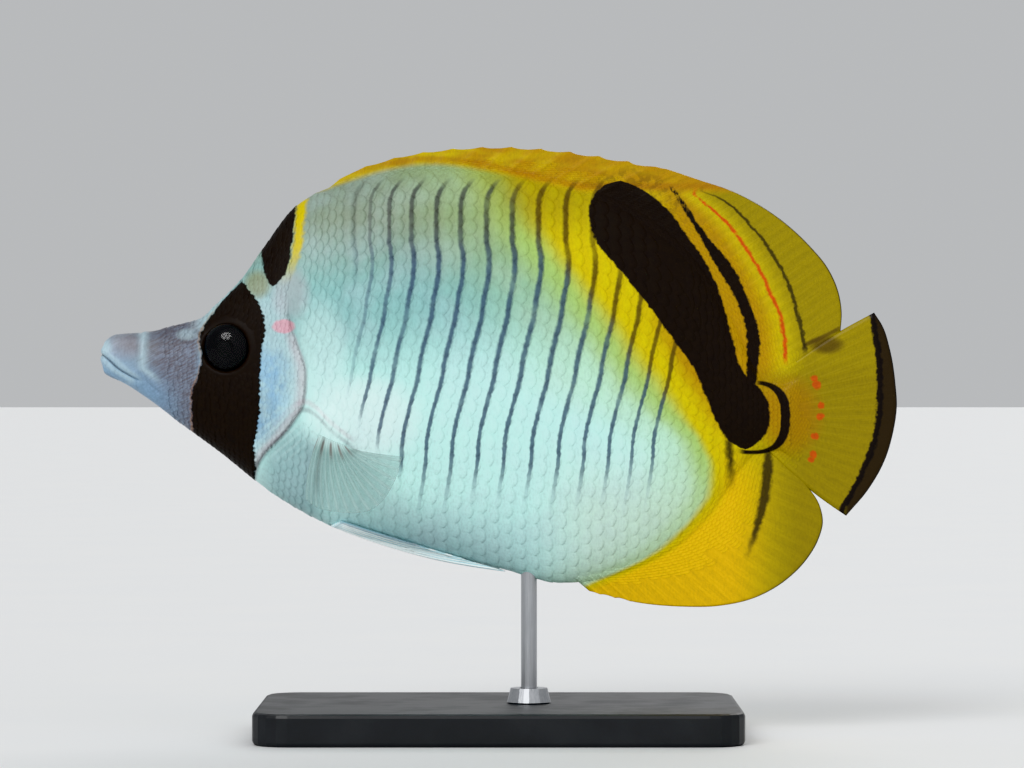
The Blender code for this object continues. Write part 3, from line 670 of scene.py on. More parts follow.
    # The slate stripes, faint in front, that thin out downwards and turn umber on the yellow.
    number = stripe_number(finish, station + fray * 0.5)
    phase = abs((number + 0.5).fraction() - 0.5)
    stripe = phase.rise(height.rise(30, 72) * 0.06 + 0.105, 0.045)
    stripe = stripe * (station - finish.line(STRIPES_FROM)).rise(-3, 3) * (1 - behind(REAR_BAR[1]))
    stripe = stripe * number.rise(0.6, 0.8) * number.rise(15.5, 15.3) * (number.rise(0.5, 3.5) * 0.6 + 0.4)
    stripe = stripe * (height + finish.noise(20, 1) * 14 - 7).rise(22, 40) * height.rise(108, 104)
    stripe = stripe * (finish.noise(10, 2).rise(0.2, 0.5) * 0.35 + 0.65)
    slate = finish.mix(height.rise(84, 96), SLATE, ASH)
    coat.lay(finish.mix(rear.rise(-5, 3), slate, UMBER), stripe * 0.88)
    fringe = (patch(BAR_FRINGE[0]) + patch(BAR_FRINGE[1])).least(1) * finish.noise(1.6, 2).rise(0.45, 0.6)
    coat.lay(UMBER, fringe * 0.35)

    # The grey snout: fine brown strokes, with pale lips, tip and folds, painted shade on its upper part and
    # in the mouth's slit.
    slanted = finish.vector("ADD", finish.place, finish.joined(0, 0, station * -0.5))
    strokes = finish.grain(finish.vector("MULTIPLY", slanted, (0.5, 1, 2.4)), 0.9, 3)
    snout = Coat(finish, finish.mix(strokes.rise(0.3, 0.7), SNOUT_BROWN, SNOUT_GREY))
    snout.lay(SNOUT_PALE, station.rise(17, 5) * 0.6)
    snout.lay(CHEEK, (height + station * 0.62).rise(71, 61) * station.rise(24, 12) * 0.55)
    # Painted shade over the upper snout, in front of the fold.
    above = (height - station * 0.1).rise(61.5, 65) * station.rise(2, 7) * station.rise(26, 22)
    snout.lay(SNOUT_SHADE, above * 0.3)
    fold = abs(station - finish.line(SNOUT_FOLD)).rise(2.3, -0.6) * height.rise(55, 59)
    snout.lay(SNOUT_LIGHT, fold * strokes.rise(0, 0.5) * 0.85)
    snout.lay(SNOUT_LIGHT, patch(NOSTRIL_LIGHT) * 0.45)
    snout.lay(CHEEK_PALE, (height - station * 0.65).rise(52.6, 54) * station.rise(21, 25) * 0.5)
    snout.lay(ROSE, patch(LIP_ROSE) * 0.12)
    mouth = (station - finish.line(MOUTH_LINE)) * 0.55
    lips = abs(abs(mouth) - 0.8).rise(1.2, 0.1) * station.rise(11.5, 7.5) * height.rise(55, 57)
    snout.lay(SNOUT_LIGHT, lips * 0.6)
    snout.lay(SNOUT_LIGHT, (from_spot(SNOUT_TIP) ** 0.5).rise(3.4, 1) * 0.7)
    snout.lay(SNOUT_BROWN, mouth.rise(-2.2, -3.4) * station.rise(20, 14) * 0.5)
    # Painted shade in the mouth's slit.
    snout.lay(SNOUT_SHADE, abs(mouth).rise(0.24, 0.02) * station.rise(10, 7) * 0.6)
    coat.lay(snout.colour, station.rise(27.5, 23.5))

    # The smoky bands of the anal fin and the eye band's thin golden front.
    eye_front, eye_rear = EYE_BAND
    rim = behind([(s - 0.35, h) for s, h in eye_front]) * (1 - behind(eye_front))
    rim = rim * height.rise(38, 46) * height.rise(77, 73)
    coat.lay(GOLD, rim * (mottle.rise(0.3, 0.6) * 0.3 + 0.3))
    smudge = along(ANAL_SMUDGE, 0.9, 0.9) * height.rise(27, 37) * height.rise(43, 41)
    coat.lay(SMOKE, smudge * 0.95)
    anal_half = height.rise(12, 30) * height.rise(42, 34) * 0.8 + 0.5
    anal = (anal_half - abs(ragged - finish.line(ANAL_BAND))).rise(-0.6, 0.6)
    coat.lay(SMOKE, anal * height.rise(10, 19) * height.rise(40, 38) * 0.92)

    # The red line and the red dots on the tail.
    red = along(RED_LINE, 0.5, 0.4) * height.rise(60, 63) * height.rise(105, 103)
    red = red * finish.noise(2.2, 3).rise(0.25, 0.45)
    for at, up, radius in TAIL_DOTS:
        away = (station + fray * 0.5 - at) ** 2 + (height + mottle * 2 - 1 - up) ** 2
        red = red.most((away ** 0.5 + speck * 0.8 - 0.4).rise(radius * 1.15, radius * 0.6) * 0.85)
    coat.lay(RED, red * 0.9)
    coat.lay(INK, speck.rise(0.35, 0.8) * 0.14)

    # The black: eye band, nape spot, rear bar and the lines behind it.
    teeth = abs((height * 0.8 + mottle * 2).fraction() - 0.5) * 0.6
    second = between(SECOND_BAND) * (height.rise(106, 97) + speck.rise(0.6, 0.4)).least(1)
    ring = squarish(STALK_OUTER).rise(1.06, 0.94) * squarish(STALK_INNER).rise(0.94, 1.06)
    ring = ring * station.rise(158.5, 161) * (height.rise(52, 50) + station.rise(163, 165)).least(1)
    dark = behind(eye_front) * (ragged - teeth - finish.line(eye_rear)).rise(0.25, -0.25)
    for mark in (
        between(NAPE_SPOT), between(REAR_BAR), second * height.rise(106, 104) * height.rise(54, 56),
        along(OUTER_BAND, 0.5) * height.rise(106, 101) * height.rise(62.5, 65) * 0.85, ring,
        along(TAIL_LINE, 0.8) * station.rise(176, 184),
    ):
        dark = dark.most(mark)
    coat.lay(finish.mix(finish.noise(1.5, 2) * 0.08, INK, UMBER), dark)
    return coat.colour, dark


hide_finish = Finish("fish_hide", Specular_IOR_Level=0.3)
hide_colour, hide_dark = markings_and_painted_light(hide_finish)
hide_finish.set(Base_Color=hide_colour, Roughness=0.4 + hide_dark * 0.12)
pores = hide_finish.noise(0.35, 3, (0.7, 1, 1.2)) * 0.6 + hide_finish.noise(1.1, 2, (0.5, 1, 1.6)) * 0.4
hide_finish.bump(pores, 0.09, 0.7)
settle(skin, hide_finish, "head", "head", "torso", "tail")

# The scales. Thin, comb-edged plates of bone under clear skin, in staggered rows that overlap like tiles,
# two rows to each slate stripe. They are largest on the flank and small on cheek, nape and tail root, and
# every one is set in the hide by its front end.

SCALE_LENGTH, ROW_STEP = 6.0, 2.05  # of the flank's scales, and from one staggered row to the next
FRONT_SHARE, FRONT_REACH = 0.6, 78  # of that length at the gill cover, and the station where it is full
ROW_STATION = 95.0  # where the rows lie a step apart
PLATE_ROWS = [0, 0.22, 0.45, 0.68, 0.86, 0.96, 1.0]
PLATE_LIFT = [-0.35, -0.21, -0.13, -0.06, -0.01, -0.02, -0.1]  # of each row over the body's outer form
PLATE_ROUNDING, PLATE_ROOT = 0.3, 0.3  # of its rear edge; share of its length that lies ahead of the root
ROOT_WIDTH, WIDEST_AT = 0.62, 0.7  # share of its width at the root; share of its length where it is widest
SIDE_BEND, BEND_POWER = 0.12, 2.5  # how far its sides turn down, and how late
FULL_LIFT = 4.0  # length from which a scale stands off in full
TUBE_HEIGHT, TUBE_WIDTH, TUBE_START = 0.08, 0.2, 0.3
PATCH_SIZE = 0.003  # of each scale on the flat pattern
LATERAL_LINE = [(50, 74), (58, 81), (75, 89.5), (95, 93), (115, 91.5), (130, 85), (147, 70)]
stripe_run = smooth([(height, station) for station, height in reversed(STRIPE_RUN)])
pitches = [-62, -59.5, -57, -54.2, -51.2, -48, -44.7, *STRIPE_PLACES, 49, 54.5, 60]  # and beyond them
SIDES = (-1, "left"), (1, "right")
rng = np.random.default_rng(7)


def plate_steps(lengths, widths, across_steps):
    """Each scale's points: how far behind its root and how far aside, rounded like a fan."""
    along, across = np.array(PLATE_ROWS)[:, None], np.linspace(-1, 1, across_steps)[None, :]
    run = along * (1 - PLATE_ROUNDING * across ** 2) - PLATE_ROOT
    fan = np.sin(np.minimum(along / WIDEST_AT, 1) * math.pi / 2)
    spread = across * (ROOT_WIDTH + (1 - ROOT_WIDTH) * fan) / 2
    return run * lengths[:, None, None], spread * widths[:, None, None]


def on_body(stations, turns, side):
    """Points of the body's outer form, where a turn of 90 is the middle of the back and -90 of the belly."""
    heights = height_at(stations, np.sin(np.radians(turns)))
    across = np.where(np.abs(turns) > 90, -side, side)
    return np.stack([stations, across * body_half(stations, heights), heights], -1)


def turn_rate(stations, turns):
    """Millimetres round the body for each degree of turn."""
    return np.linalg.norm(on_body(stations, turns + 0.5, 1) - on_body(stations, turns - 0.5, 1), axis=-1)


def evenly_round(station, step, offset):
    """Turns from back to belly whose places lie a step apart, the first one a share of a step down."""
    turns = np.linspace(-90, 90, 361)
    path = on_body(np.full_like(turns, station), turns, 1)
    run = np.concatenate([[0], np.cumsum(np.linalg.norm(np.diff(path, axis=0), axis=1))])
    return np.interp(np.arange(run[-1] - offset * step, 0, -step), run, turns)


def plates_on_body(stations, turns, leans, lengths, widths, across_steps, side):
    """Points of scales on the body's own curve, each turned by its lean."""
    ahead, aside = plate_steps(lengths, widths, across_steps)
    lean, rate = leans[:, None, None], turn_rate(stations, turns)[:, None, None]
    station = stations[:, None, None] + ahead * np.cos(lean) - aside * np.sin(lean)
    return on_body(station, turns[:, None, None] + (ahead * np.sin(lean) + aside * np.cos(lean)) / rate, side)


def scale_piece(name, laid, roots, sizes, side, tubes=0):
    """Scales joined in one mesh from their points on the surface. Tubes are the lateral line's pores."""
    count, rows, columns = laid.shape[:3]
    along, across = np.array(PLATE_ROWS)[:, None], np.linspace(-1, 1, columns)[None, :]
    ways = np.cross(np.gradient(laid, axis=1), np.gradient(laid, axis=2))
    facing = np.sign((ways[..., 1] * side).sum())
    ways *= facing / np.maximum(np.linalg.norm(ways, axis=-1, keepdims=True), 1e-9)
    lift = np.array(PLATE_LIFT)[:, None] - SIDE_BEND * np.abs(across) ** BEND_POWER
    lift = lift[None] * np.minimum(sizes / FULL_LIFT, 1)[:, None, None]
    tube = TUBE_HEIGHT * bell(across, TUBE_WIDTH) * ease(along / TUBE_START)
    lift = lift + np.reshape(tubes, (-1, 1, 1)) * tube
    points = laid + ways * lift[..., None]
    corner = (np.arange(rows - 1)[:, None] * columns + np.arange(columns - 1)[None, :]).ravel()
    quad = np.stack([corner, corner + columns, corner + columns + 1, corner + 1], -1)
    quads = (quad[None] + (np.arange(count) * rows * columns)[:, None, None]).reshape(-1, 4)
    if facing < 0:
        quads = quads[:, ::-1]
    mesh = bpy.data.meshes.new(name)
    mesh.from_pydata(in_row(points).reshape(-1, 3).tolist(), [], quads.tolist())
    patch = np.stack(np.broadcast_arrays(along - 0.5, across / 2), -1).reshape(1, -1, 2) * PATCH_SIZE
    spots = (roots[:, None, :] + patch).reshape(-1, 2)
    mesh.uv_layers.new(name="OFBake").uv.foreach_set("vector", spots[quads.ravel()].ravel())
    plate = np.stack(np.broadcast_arrays(along, across / 2 + 0.5), -1).reshape(1, -1, 2)
    plate = np.broadcast_to(plate, (count, rows * columns, 2)).reshape(-1, 2)
    mesh.uv_layers.new(name="plate").uv.foreach_set("vector", plate[quads.ravel()].ravel())
    mesh.shade_smooth()
    piece = bpy.data.objects.new(name, mesh)
    bpy.context.scene.collection.objects.link(piece)
    return piece


def staggered(columns, step, place, keep):
    """Roots and row gaps of staggered rows: each column takes every other row."""
    spots = []
    rows = evenly_round(ROW_STATION, step, 0.5)
    for k, column in enumerate(columns):
        turns, steps = rows[k % 2::2], np.abs(np.gradient(rows))[k % 2::2]
        stations = np.full_like(turns, ROW_STATION + column)
        for _ in range(5):
            stations = place(column, height_at(stations, np.sin(np.radians(turns))))
        spots.append(np.stack([stations, turns, steps * turn_rate(stations, turns)], -1))
    spots = np.concatenate(spots)
    heights = height_at(spots[:, 0], np.sin(np.radians(spots[:, 1])))
    kept = keep(spots[:, 0], heights)
    return *spots[kept].T, heights[kept]


def grow_scales(name, slot, stations, turns, leans, lengths, widths, across_steps, tubes=0):
    """The same scales on the left and the right side of the body."""
    for side, way in SIDES:
        laid = plates_on_body(stations, turns, leans, lengths, widths, across_steps, side)
        roots = skin_spot(stations, np.sin(np.radians(turns)), side)
        settle(scale_piece(name + way, laid, roots, lengths, side, tubes), scale_finish, slot)


scale_finish = Finish("fish_scales", Specular_IOR_Level=0.3)
along, across = scale_finish.pattern("plate")
across = abs(across - 0.5) * 2
scale_colour, scale_dark = markings_and_painted_light(scale_finish)
# Painted highlight in the middle of each scale.
scale_highlight = along.rise(0.5, 0.75) * along.rise(0.97, 0.85) * across.rise(0.9, 0.3) * (1 - scale_dark)
scale_colour = scale_finish.mix(scale_highlight * 0.16, scale_colour, PEARL_WHITE, "SOFT_LIGHT")
# Painted shade along each scale's rim.
rim = along.rise(0.9, 0.98).most(across.rise(0.75, 0.95) * along.rise(0.4, 0.6)) * (1 - scale_dark)
scale_colour = scale_finish.mix(rim * 0.07, scale_colour, INK)
scale_finish.set(Base_Color=scale_colour, Roughness=0.38 + scale_dark * 0.14)
combs = (across * 26).wave() * along.rise(0.55, 0.9) * 0.25 + scale_finish.noise(0.3, 2, (0.35, 1, 1.6)) * 0.5
scale_finish.bump(combs + scale_finish.noise(1.4, 2, (0.6, 1, 1.4)) * 0.3, 0.06, 0.5)

# On the flank one column of scales follows each stripe and one the space behind it. A tube on each scale of
# the arched lateral line carries its pore.
REAR_LIMIT = [
    (18, 150.5), (36, 150.5), (44, 154), (55, 151), (62, 149), (70, 146), (80, 143), (90, 137), (100, 131),
    (112, 128),
]  # station where the flank's rows end, at heights
GILL_GAP, TUBE_REACH = 1.2, 1.3
FLANK_WIDTH, STALK_WIDTH, HEAD_WIDTH = 2.7, 2.4, 0.9  # of a scale, as shares of a row's gap or of its length
FLANK_LEAN, HEAD_LEAN, HEAD_SCATTER = 0.03, 0.14, 0.2
FLANK_POINTS, SMALL_POINTS = 7, 5  # across a scale
rear_limit = smooth(REAR_LIMIT)
numbers = np.arange(0, len(pitches) - 0.75, 0.5)
stations, turns, gaps, heights = staggered(
    np.interp(numbers, np.arange(len(pitches)), pitches), ROW_STEP,
    lambda column, height: stripe_run(height) + column,
    lambda s, h: (s > gill_edge(h) + GILL_GAP) & (s < rear_limit(h)),
)
lengths = SCALE_LENGTH * np.interp(stations, [gill_edge(60.0), FRONT_REACH], [FRONT_SHARE, 1])
tubes = from_line(LATERAL_LINE, stations, heights)[0] < TUBE_REACH
leans = rng.normal(0, FLANK_LEAN, len(stations))
widths = FLANK_WIDTH * gaps
grow_scales("flank_scales_", "torso", stations, turns, leans, lengths, widths, FLANK_POINTS, tubes)

# On the tail's root the columns stand closer, one to every two millimetres or less.
STALK_START, STALK_END = 146, 172
STALK_STEPS, STALK_LENGTHS = np.linspace(1.7, 1.0, 20), [3.4, 2.0]
stations, turns, gaps, _ = staggered(
    STALK_START + np.cumsum([0, *STALK_STEPS]), 2 * ROW_STEP,
    lambda column, height: np.full_like(height, column),
    lambda s, h: (s > rear_limit(h)) & (s < STALK_END),
)
lengths = np.interp(stations, [STALK_START, STALK_END], STALK_LENGTHS)
straight = 0 * stations
grow_scales("stalk_scales_", "tail", stations, turns, straight, lengths, STALK_WIDTH * gaps, SMALL_POINTS)

# Forehead and cheek have small ones all over, but for the lips, the nostrils and a bare ring round the eye.
HEAD_STEP, HEAD_FROM, HEAD_TO = 1.15, 13, 53
HEAD_LENGTHS = [14, 30, 50], [1.5, 1.9, 2.3]  # stations, and the scales' lengths there
NOSTRIL_BARE, EYE_BARE = 1.5, 1.9  # radius with no scales, and width of the bare ring
columns = np.arange(HEAD_FROM, HEAD_TO, HEAD_STEP)
rounds = [evenly_round(column, 1.1 * HEAD_STEP, 0.25 + 0.5 * (k % 2)) for k, column in enumerate(columns)]
stations = np.concatenate([np.full(len(turns), column) for column, turns in zip(columns, rounds)])
stations, turns = stations + rng.normal(0, HEAD_SCATTER, len(stations)), np.concatenate(rounds)
heights = height_at(stations, np.sin(np.radians(turns)))
kept = (stations < gill_edge(heights) - 1.1) & (stations > 14.5 + (69 - heights) * 0.1)
kept &= np.hypot(stations - EYE_STATION, heights - EYE_HEIGHT) > SOCKET_RADIUS + EYE_BARE
for at in NOSTRILS:
    kept &= np.hypot(stations - at[0], heights - at[1]) > NOSTRIL_BARE
stations, turns = stations[kept], turns[kept]
leans = rng.normal(0, HEAD_LEAN, len(stations))
lengths = np.interp(stations, *HEAD_LENGTHS)
grow_scales("head_scales_", "head", stations, turns, leans, lengths, HEAD_WIDTH * lengths, SMALL_POINTS)

# The upright fins. Soft sheets of dyed skin on spines and jointed rays, each ray forking twice on its way to
# the margin. Each is one thin closed piece with the rays raised on both faces, sunk in the body at its root
# and covered there by small scales.

DORSAL_START, SPINES_END, DORSAL_END = 56.0, 124.5, 166.0
SPINE_MARGIN = [
    (56, 104.2), (61, 107.8), (71, 111.6), (82.3, 113.9), (92.3, 114.8), (99.8, 115), (109.8, 114.5),
    (116.8, 113.8), (124.8, 112.6), (134.8, 110.8), (141.6, 109.5),
]
SOFT_MARGIN = [
    (142.2, 109.3), (149.3, 106.9), (157.8, 104), (167.3, 98.8), (177, 90.5), (181.8, 84.6), (184.3, 79),
    (185.2, 73.6), (184.9, 68.9),
]
ANAL_START, ANAL_END = 116.0, 164.0
ANAL_MARGIN = [
    (122.3, 3.8), (127.3, 2.6), (134.8, 1), (144.8, 0.1), (154.8, 0.3), (163.5, 2.3), (171, 6.5),
    (176.3, 11.7), (179.3, 16.7), (180.5, 21.3), (179.6, 25.6), (176, 30.9), (171.3, 36.2),
]
CAUDAL_ROOT = [(166.2, 56.2), (167, 52.5), (167.4, 47.2), (167.2, 42), (166.8, 38.9)]
CAUDAL_MARGIN = [
    (193.3, 73.6), (195.4, 70.3), (197.3, 64.3), (198.7, 55.3), (199, 50.5), (198.2, 44.3),
    (195.8, 36.3), (191.8, 29.3), (186.3, 22.8),
]
CAUDAL_BOW = 1.0  # of its upper and lower edges
CAUDAL_FLESH = 0.12  # of its rays' length lies in the tail's root
SPINES, DORSAL_RAYS, ANAL_SPINES, ANAL_RAYS, CAUDAL_RAYS = 12, 23, 3, 19, 17
ROOT_SUNK, ROOT_DIVE = 3.2, 0.35  # how far the fins' roots lie below the body's outline and under its surface
FILLET = 1.8  # of the flesh where fin and body run together
PER_RAY = 16  # columns of points to each ray
RAY_RIDGE, SPINE_RIDGE = 0.1, 0.26
SPINE_DIP, SPINE_TIP = 0.035, 0.014  # of the membrane between spines, and of the tips past it
SPINE_PLACE, DIP_REACH, TIP_WIDTH = 0.62, 0.4, 0.08  # shares of the way from one spine to the next
FORKS = (0.17, 0.35, 0.35), (0.08, 0.66, 0.25)  # how wide it opens, where it starts, and along how much
STIFF_WIDTH, SOFT_WIDTH, SOFT_NARROWING = 0.14, 0.12, 0.065  # of spines and rays, as shares of the pitch
FIN_SCALE_GAP, FIN_SCALE_WIDTH, FIN_SCALE_LEAN = 0.55, 1.45, 0.03
LONGEST_ROW = 60  # scales from a fin's root outwards
RAY_START = 0.3  # share of the way out where a ray stands up in full
FIN_ROUGHNESS, FIN_SPECULAR = 0.42, 0.35
DORSAL_HALVES, ANAL_HALVES, CAUDAL_HALVES = (1.1, 0.18), (1.1, 0.16), (1.0, 0.14)  # at root and margin
FLESH_FADE = 0.22  # of the tail rays' length over which the stalk's flesh thins out on them


def along_outline(outline, start, end, outwards):
    """A fin's root, sunk under the body's outline, run from 0 to 1."""
    stations = np.linspace(start, end, 15)
    slope = outline(stations + 0.5) - outline(stations - 0.5)
    square = np.stack([-slope, np.ones(15)], -1) / np.hypot(slope, 1)[:, None] * outwards
    return trace(np.stack([stations, outline(stations)], -1) - square * ROOT_SUNK)


def forked_rays(pitch, along, stiff=0):
    """How far a ray stands up, 0 to 1, where pitch counts rays. The stiff first ones don't fork."""
    middle, soft = pitch % 1 - 0.5, pitch >= stiff
    first, second = (soft * opening * ease((along - start) / run) for opening, start, run in FORKS)
    width = np.where(soft, SOFT_WIDTH - SOFT_NARROWING * ease((along - 0.3) / 0.5), STIFF_WIDTH)
    arms = [bell(middle - a * first - b * second, width) for a in (-1, 1) for b in (-1, 1)]
    return np.max(arms, axis=0)


class UprightFin:
    """A fin in the fish's middle plane. Pitch counts its rays, and along runs from root to margin."""

    def __init__(self, root, margin, count, halves, stiff=0, bow=0, flesh=1):
        self.root, self.margin, self.count, self.halves, self.stiff = root, margin, count, halves, stiff
        self.bow, self.flesh = bow, flesh  # flesh is the share of the way out that lies in the body

    def flat(self, pitch, along):
        """Stations and heights in the middle plane."""
        start, end = self.root(pitch), self.margin(pitch)
        between = (pitch - SPINE_PLACE) % 1
        between = np.minimum(between, 1 - between)
        dip = SPINE_DIP * ease(between / DIP_REACH) - SPINE_TIP * bell(between, TIP_WIDTH)
        dip = dip * ease(self.stiff - pitch)
        flat = start + (end - start) * (along * (1 - along ** 3 * dip))[..., None]
        lifted = self.bow * (1 - 2 * pitch / self.count) ** 3 * np.sin(math.pi * np.clip(along, 0, 1))
        return flat + np.stack([0 * lifted, lifted], -1)

    def half(self, pitch, along):
        """Half the thickness: a web with rays, filleted where it runs out of the body's flesh."""
        reach = np.linalg.norm(self.margin(pitch) - self.root(pitch), axis=-1)
        web = self.halves[0] + (self.halves[1] - self.halves[0]) * along ** 0.6
        ridge = np.where(pitch < self.stiff, SPINE_RIDGE, RAY_RIDGE)
        ridge = ridge * ease(along / RAY_START) * (1 - 0.5 * along)
        web = web + ridge * forked_rays(pitch, along, self.stiff)
        station, height = np.moveaxis(self.flat(pitch, np.minimum(along, self.flesh)), -1, 0)
        body = body_half(station, height) * ease((self.flesh - along) / FLESH_FADE + 1) - SCALE_DEPTH
        joined = np.maximum(web, body) + np.maximum(FILLET - np.abs(web - body), 0) ** 2 / (4 * FILLET)
        return joined - ROOT_DIVE * ease(1 - along * reach / ROOT_SUNK)

    def spot(self, pitch, along, side):
        """Place on the fin's flat pattern, its left face below and its right face above."""
        across, row = np.broadcast_arrays(0.02 + 0.96 * pitch / self.count, 0.01 + 0.47 * along)
        return np.stack([across, row + (0 if side < 0 else 0.51)], -1)

    def build(self, name, rows):
        pitch = np.linspace(0, self.count, self.count * PER_RAY + 1)[:, None]
        along = np.concatenate([[0], np.linspace(0, 0.96, rows), [0.985, 1]])[None, :]
        pitch, along = np.broadcast_arrays(np.minimum(pitch, self.count - 1e-6), along)
        flat = self.flat(pitch, along)
        middle = np.stack([flat[..., 0], 0 * flat[..., 0], flat[..., 1]], -1)
        sides = np.sqrt(np.clip(np.minimum(pitch, self.count - pitch) * 3, 0, 1))
        return thin_closed(name, middle, self.half(pitch, along) * sides, pitch, along,
                           (self.spot(pitch, along, -1), self.spot(pitch, along, 1)))

    def scales(self, name, side, reach, length):
        """Small scales over the fin's root, two to a ray or six to a spine, out to a share of its way."""
        spots, pitch, k = [], np.full(LONGEST_ROW, 0.3), 0
        while pitch[0] < self.count - 0.3:
            tall = np.linalg.norm(self.margin(pitch) - self.root(pitch), axis=-1)[0]
            away = np.arange(LONGEST_ROW) * length * FIN_SCALE_GAP + (k % 2) * length * 0.27
            spacing = 1 / 6 if pitch[0] < self.stiff else 1 / 2
            column = np.stack([pitch, away / tall, 0 * pitch + spacing], -1)
            spots.append(column[away < reach(pitch[0]) * tall * rng.uniform(0.62, 1)])
            pitch, k = pitch + spacing, k + 1
        pitch, along, spacing = np.concatenate(spots).T
        pitch = pitch + rng.normal(0, FIN_SCALE_LEAN, len(pitch))
        tall = np.linalg.norm(self.margin(pitch) - self.root(pitch), axis=-1)
        wide = np.linalg.norm(self.flat(pitch + 0.5, along) - self.flat(pitch - 0.5, along), axis=-1)
        lengths = length * (1 - 0.5 * along / np.array([reach(place) for place in pitch]))
        ahead, aside = plate_steps(lengths, FIN_SCALE_WIDTH * spacing * wide, SMALL_POINTS)
        at = pitch[:, None, None] + aside / wide[:, None, None]
        row = np.clip(along[:, None, None] + ahead / tall[:, None, None], 0, 1)
        flat, half = self.flat(at, row), self.half(at, row)
        laid = np.stack([flat[..., 0], side * half, flat[..., 1]], -1)
        return scale_piece(name, laid + (0, side * 0.08, 0), self.spot(pitch, along, side), lengths, side)


def thin_closed(name, middle, half, pitch, along, spots):
    """A sheet with two faces, from its middle points and half its thickness, closed all round."""
    ways = np.cross(np.gradient(middle, axis=0), np.gradient(middle, axis=1))
    ways /= np.maximum(np.linalg.norm(ways, axis=-1, keepdims=True), 1e-9)
    half = half.copy()
    half[:, [0, -1]] = 0
    half[[0, -1], :] = 0
    shift = ways * half[..., None]
    shift = shift * np.where(shift[..., 1:2].sum() > 0, -1, 1)
    ring = np.concatenate([middle + shift, (middle - shift)[::-1]])
    count = np.stack(np.broadcast_arrays(pitch, along), -1)
    piece = lay_sheet(name, ring, OFBake=np.concatenate([spots[0], spots[1][::-1]]),
                      rays=np.concatenate([count, count[::-1]]))
    close_up(piece)
    return piece


def fin_finish(name):
    """Dyed skin over rays, with the count of its rays and the share of the way to its margin."""
    finish = Finish(name, FIN_ROUGHNESS, Specular_IOR_Level=FIN_SPECULAR)
    return finish, *finish.pattern("rays")


sun_fins, pitch, along = fin_finish("fish_fins")
colour, dark = markings_and_painted_light(sun_fins)
web = abs(pitch.fraction() - 0.5).rise(0.12, 0.45) * along.rise(0.15, 0.4)
fibre = sun_fins.grain(sun_fins.joined(pitch * 9, along * 5), 1, 2)
colour = sun_fins.mix(web * 0.07 + fibre.rise(0.4, 0.8) * 0.1, colour, INK)
hyaline = (sun_fins.station - sun_fins.line(TAIL_LINE)).rise(-0.3, 0.3) * sun_fins.station.rise(184, 187)
colour = sun_fins.mix(hyaline, colour, sun_fins.mix(dark, SMOKE, INK))
edge = along.rise(0.984, 0.996) * sun_fins.station.rise(140, 175)
colour = sun_fins.mix(edge * 0.75, colour, INK)
joints = (along * 260 + pitch.fraction() * 2).wave() * along.rise(0.3, 0.6) * 0.2
sun_fins.set(Base_Color=colour, Roughness=0.44 - dark * 0.06)
sun_fins.bump(joints + fibre * 0.7 + sun_fins.noise(0.5, 3) * 0.3, 0.05, 0.5)

spine_root, soft_root = (
    along_outline(back, DORSAL_START, SPINES_END, 1), along_outline(back, SPINES_END + 0.6, DORSAL_END, 1)
)
spine_margin, soft_margin = trace(SPINE_MARGIN), trace(SOFT_MARGIN)


def spiny_then_soft(spiny, soft):
    """One line from two: the spiny fin runs on into the soft one without a break."""
    return lambda pitch: np.where(
        (pitch < SPINES)[..., None], spiny(pitch / SPINES), soft((pitch - SPINES) / DORSAL_RAYS)
    )


dorsal = UprightFin(spiny_then_soft(spine_root, soft_root), spiny_then_soft(spine_margin, soft_margin),
                    SPINES + DORSAL_RAYS, DORSAL_HALVES, stiff=SPINES)
anal_root, anal_margin = along_outline(belly, ANAL_START, ANAL_END, -1), trace(ANAL_MARGIN)
anal_count = ANAL_SPINES + ANAL_RAYS
anal = UprightFin(lambda pitch: anal_root(pitch / anal_count), lambda pitch: anal_margin(pitch / anal_count),
                  anal_count, ANAL_HALVES, stiff=ANAL_SPINES)
caudal_root, caudal_margin = trace(CAUDAL_ROOT), trace(CAUDAL_MARGIN)
caudal = UprightFin(lambda pitch: caudal_root(pitch / CAUDAL_RAYS),
                    lambda pitch: caudal_margin(pitch / CAUDAL_RAYS), CAUDAL_RAYS, CAUDAL_HALVES,
                    bow=CAUDAL_BOW, flesh=CAUDAL_FLESH)
settle(dorsal.build("dorsal_fin", 40), sun_fins, "fin_yellow", "dorsal_fin_spiny", "dorsal_fin_soft")
settle(anal.build("anal_fin_rays", 44), sun_fins, "fin_yellow", "anal_fin")
settle(caudal.build("tail_fin_rays", 44), sun_fins, "fin_yellow", "caudal_fin")
SCALED_ROOTS = (
    ("dorsal_scales_", dorsal, lambda pitch: 0.5 if pitch > SPINES else 0.66, 1.7),
    ("anal_scales_", anal, lambda pitch: 0.5, 1.7), ("tail_scales_", caudal, lambda pitch: 0.34, 1.5),
)  # names, fins, share of the rays' length with scales on, and the scales' length
for side, way in SIDES:
    for name, fin, reach, length in SCALED_ROOTS:
        settle(fin.scales(name + way, side, reach, length), scale_finish, "fin_yellow")

# The pectoral fins. A clear fan of fifteen rays on each shoulder, held out and down and cupped a little
# backwards. The rays are whitish and the web between them lets the flank show through, with painted
# shadows between the ray bases and along one fold.

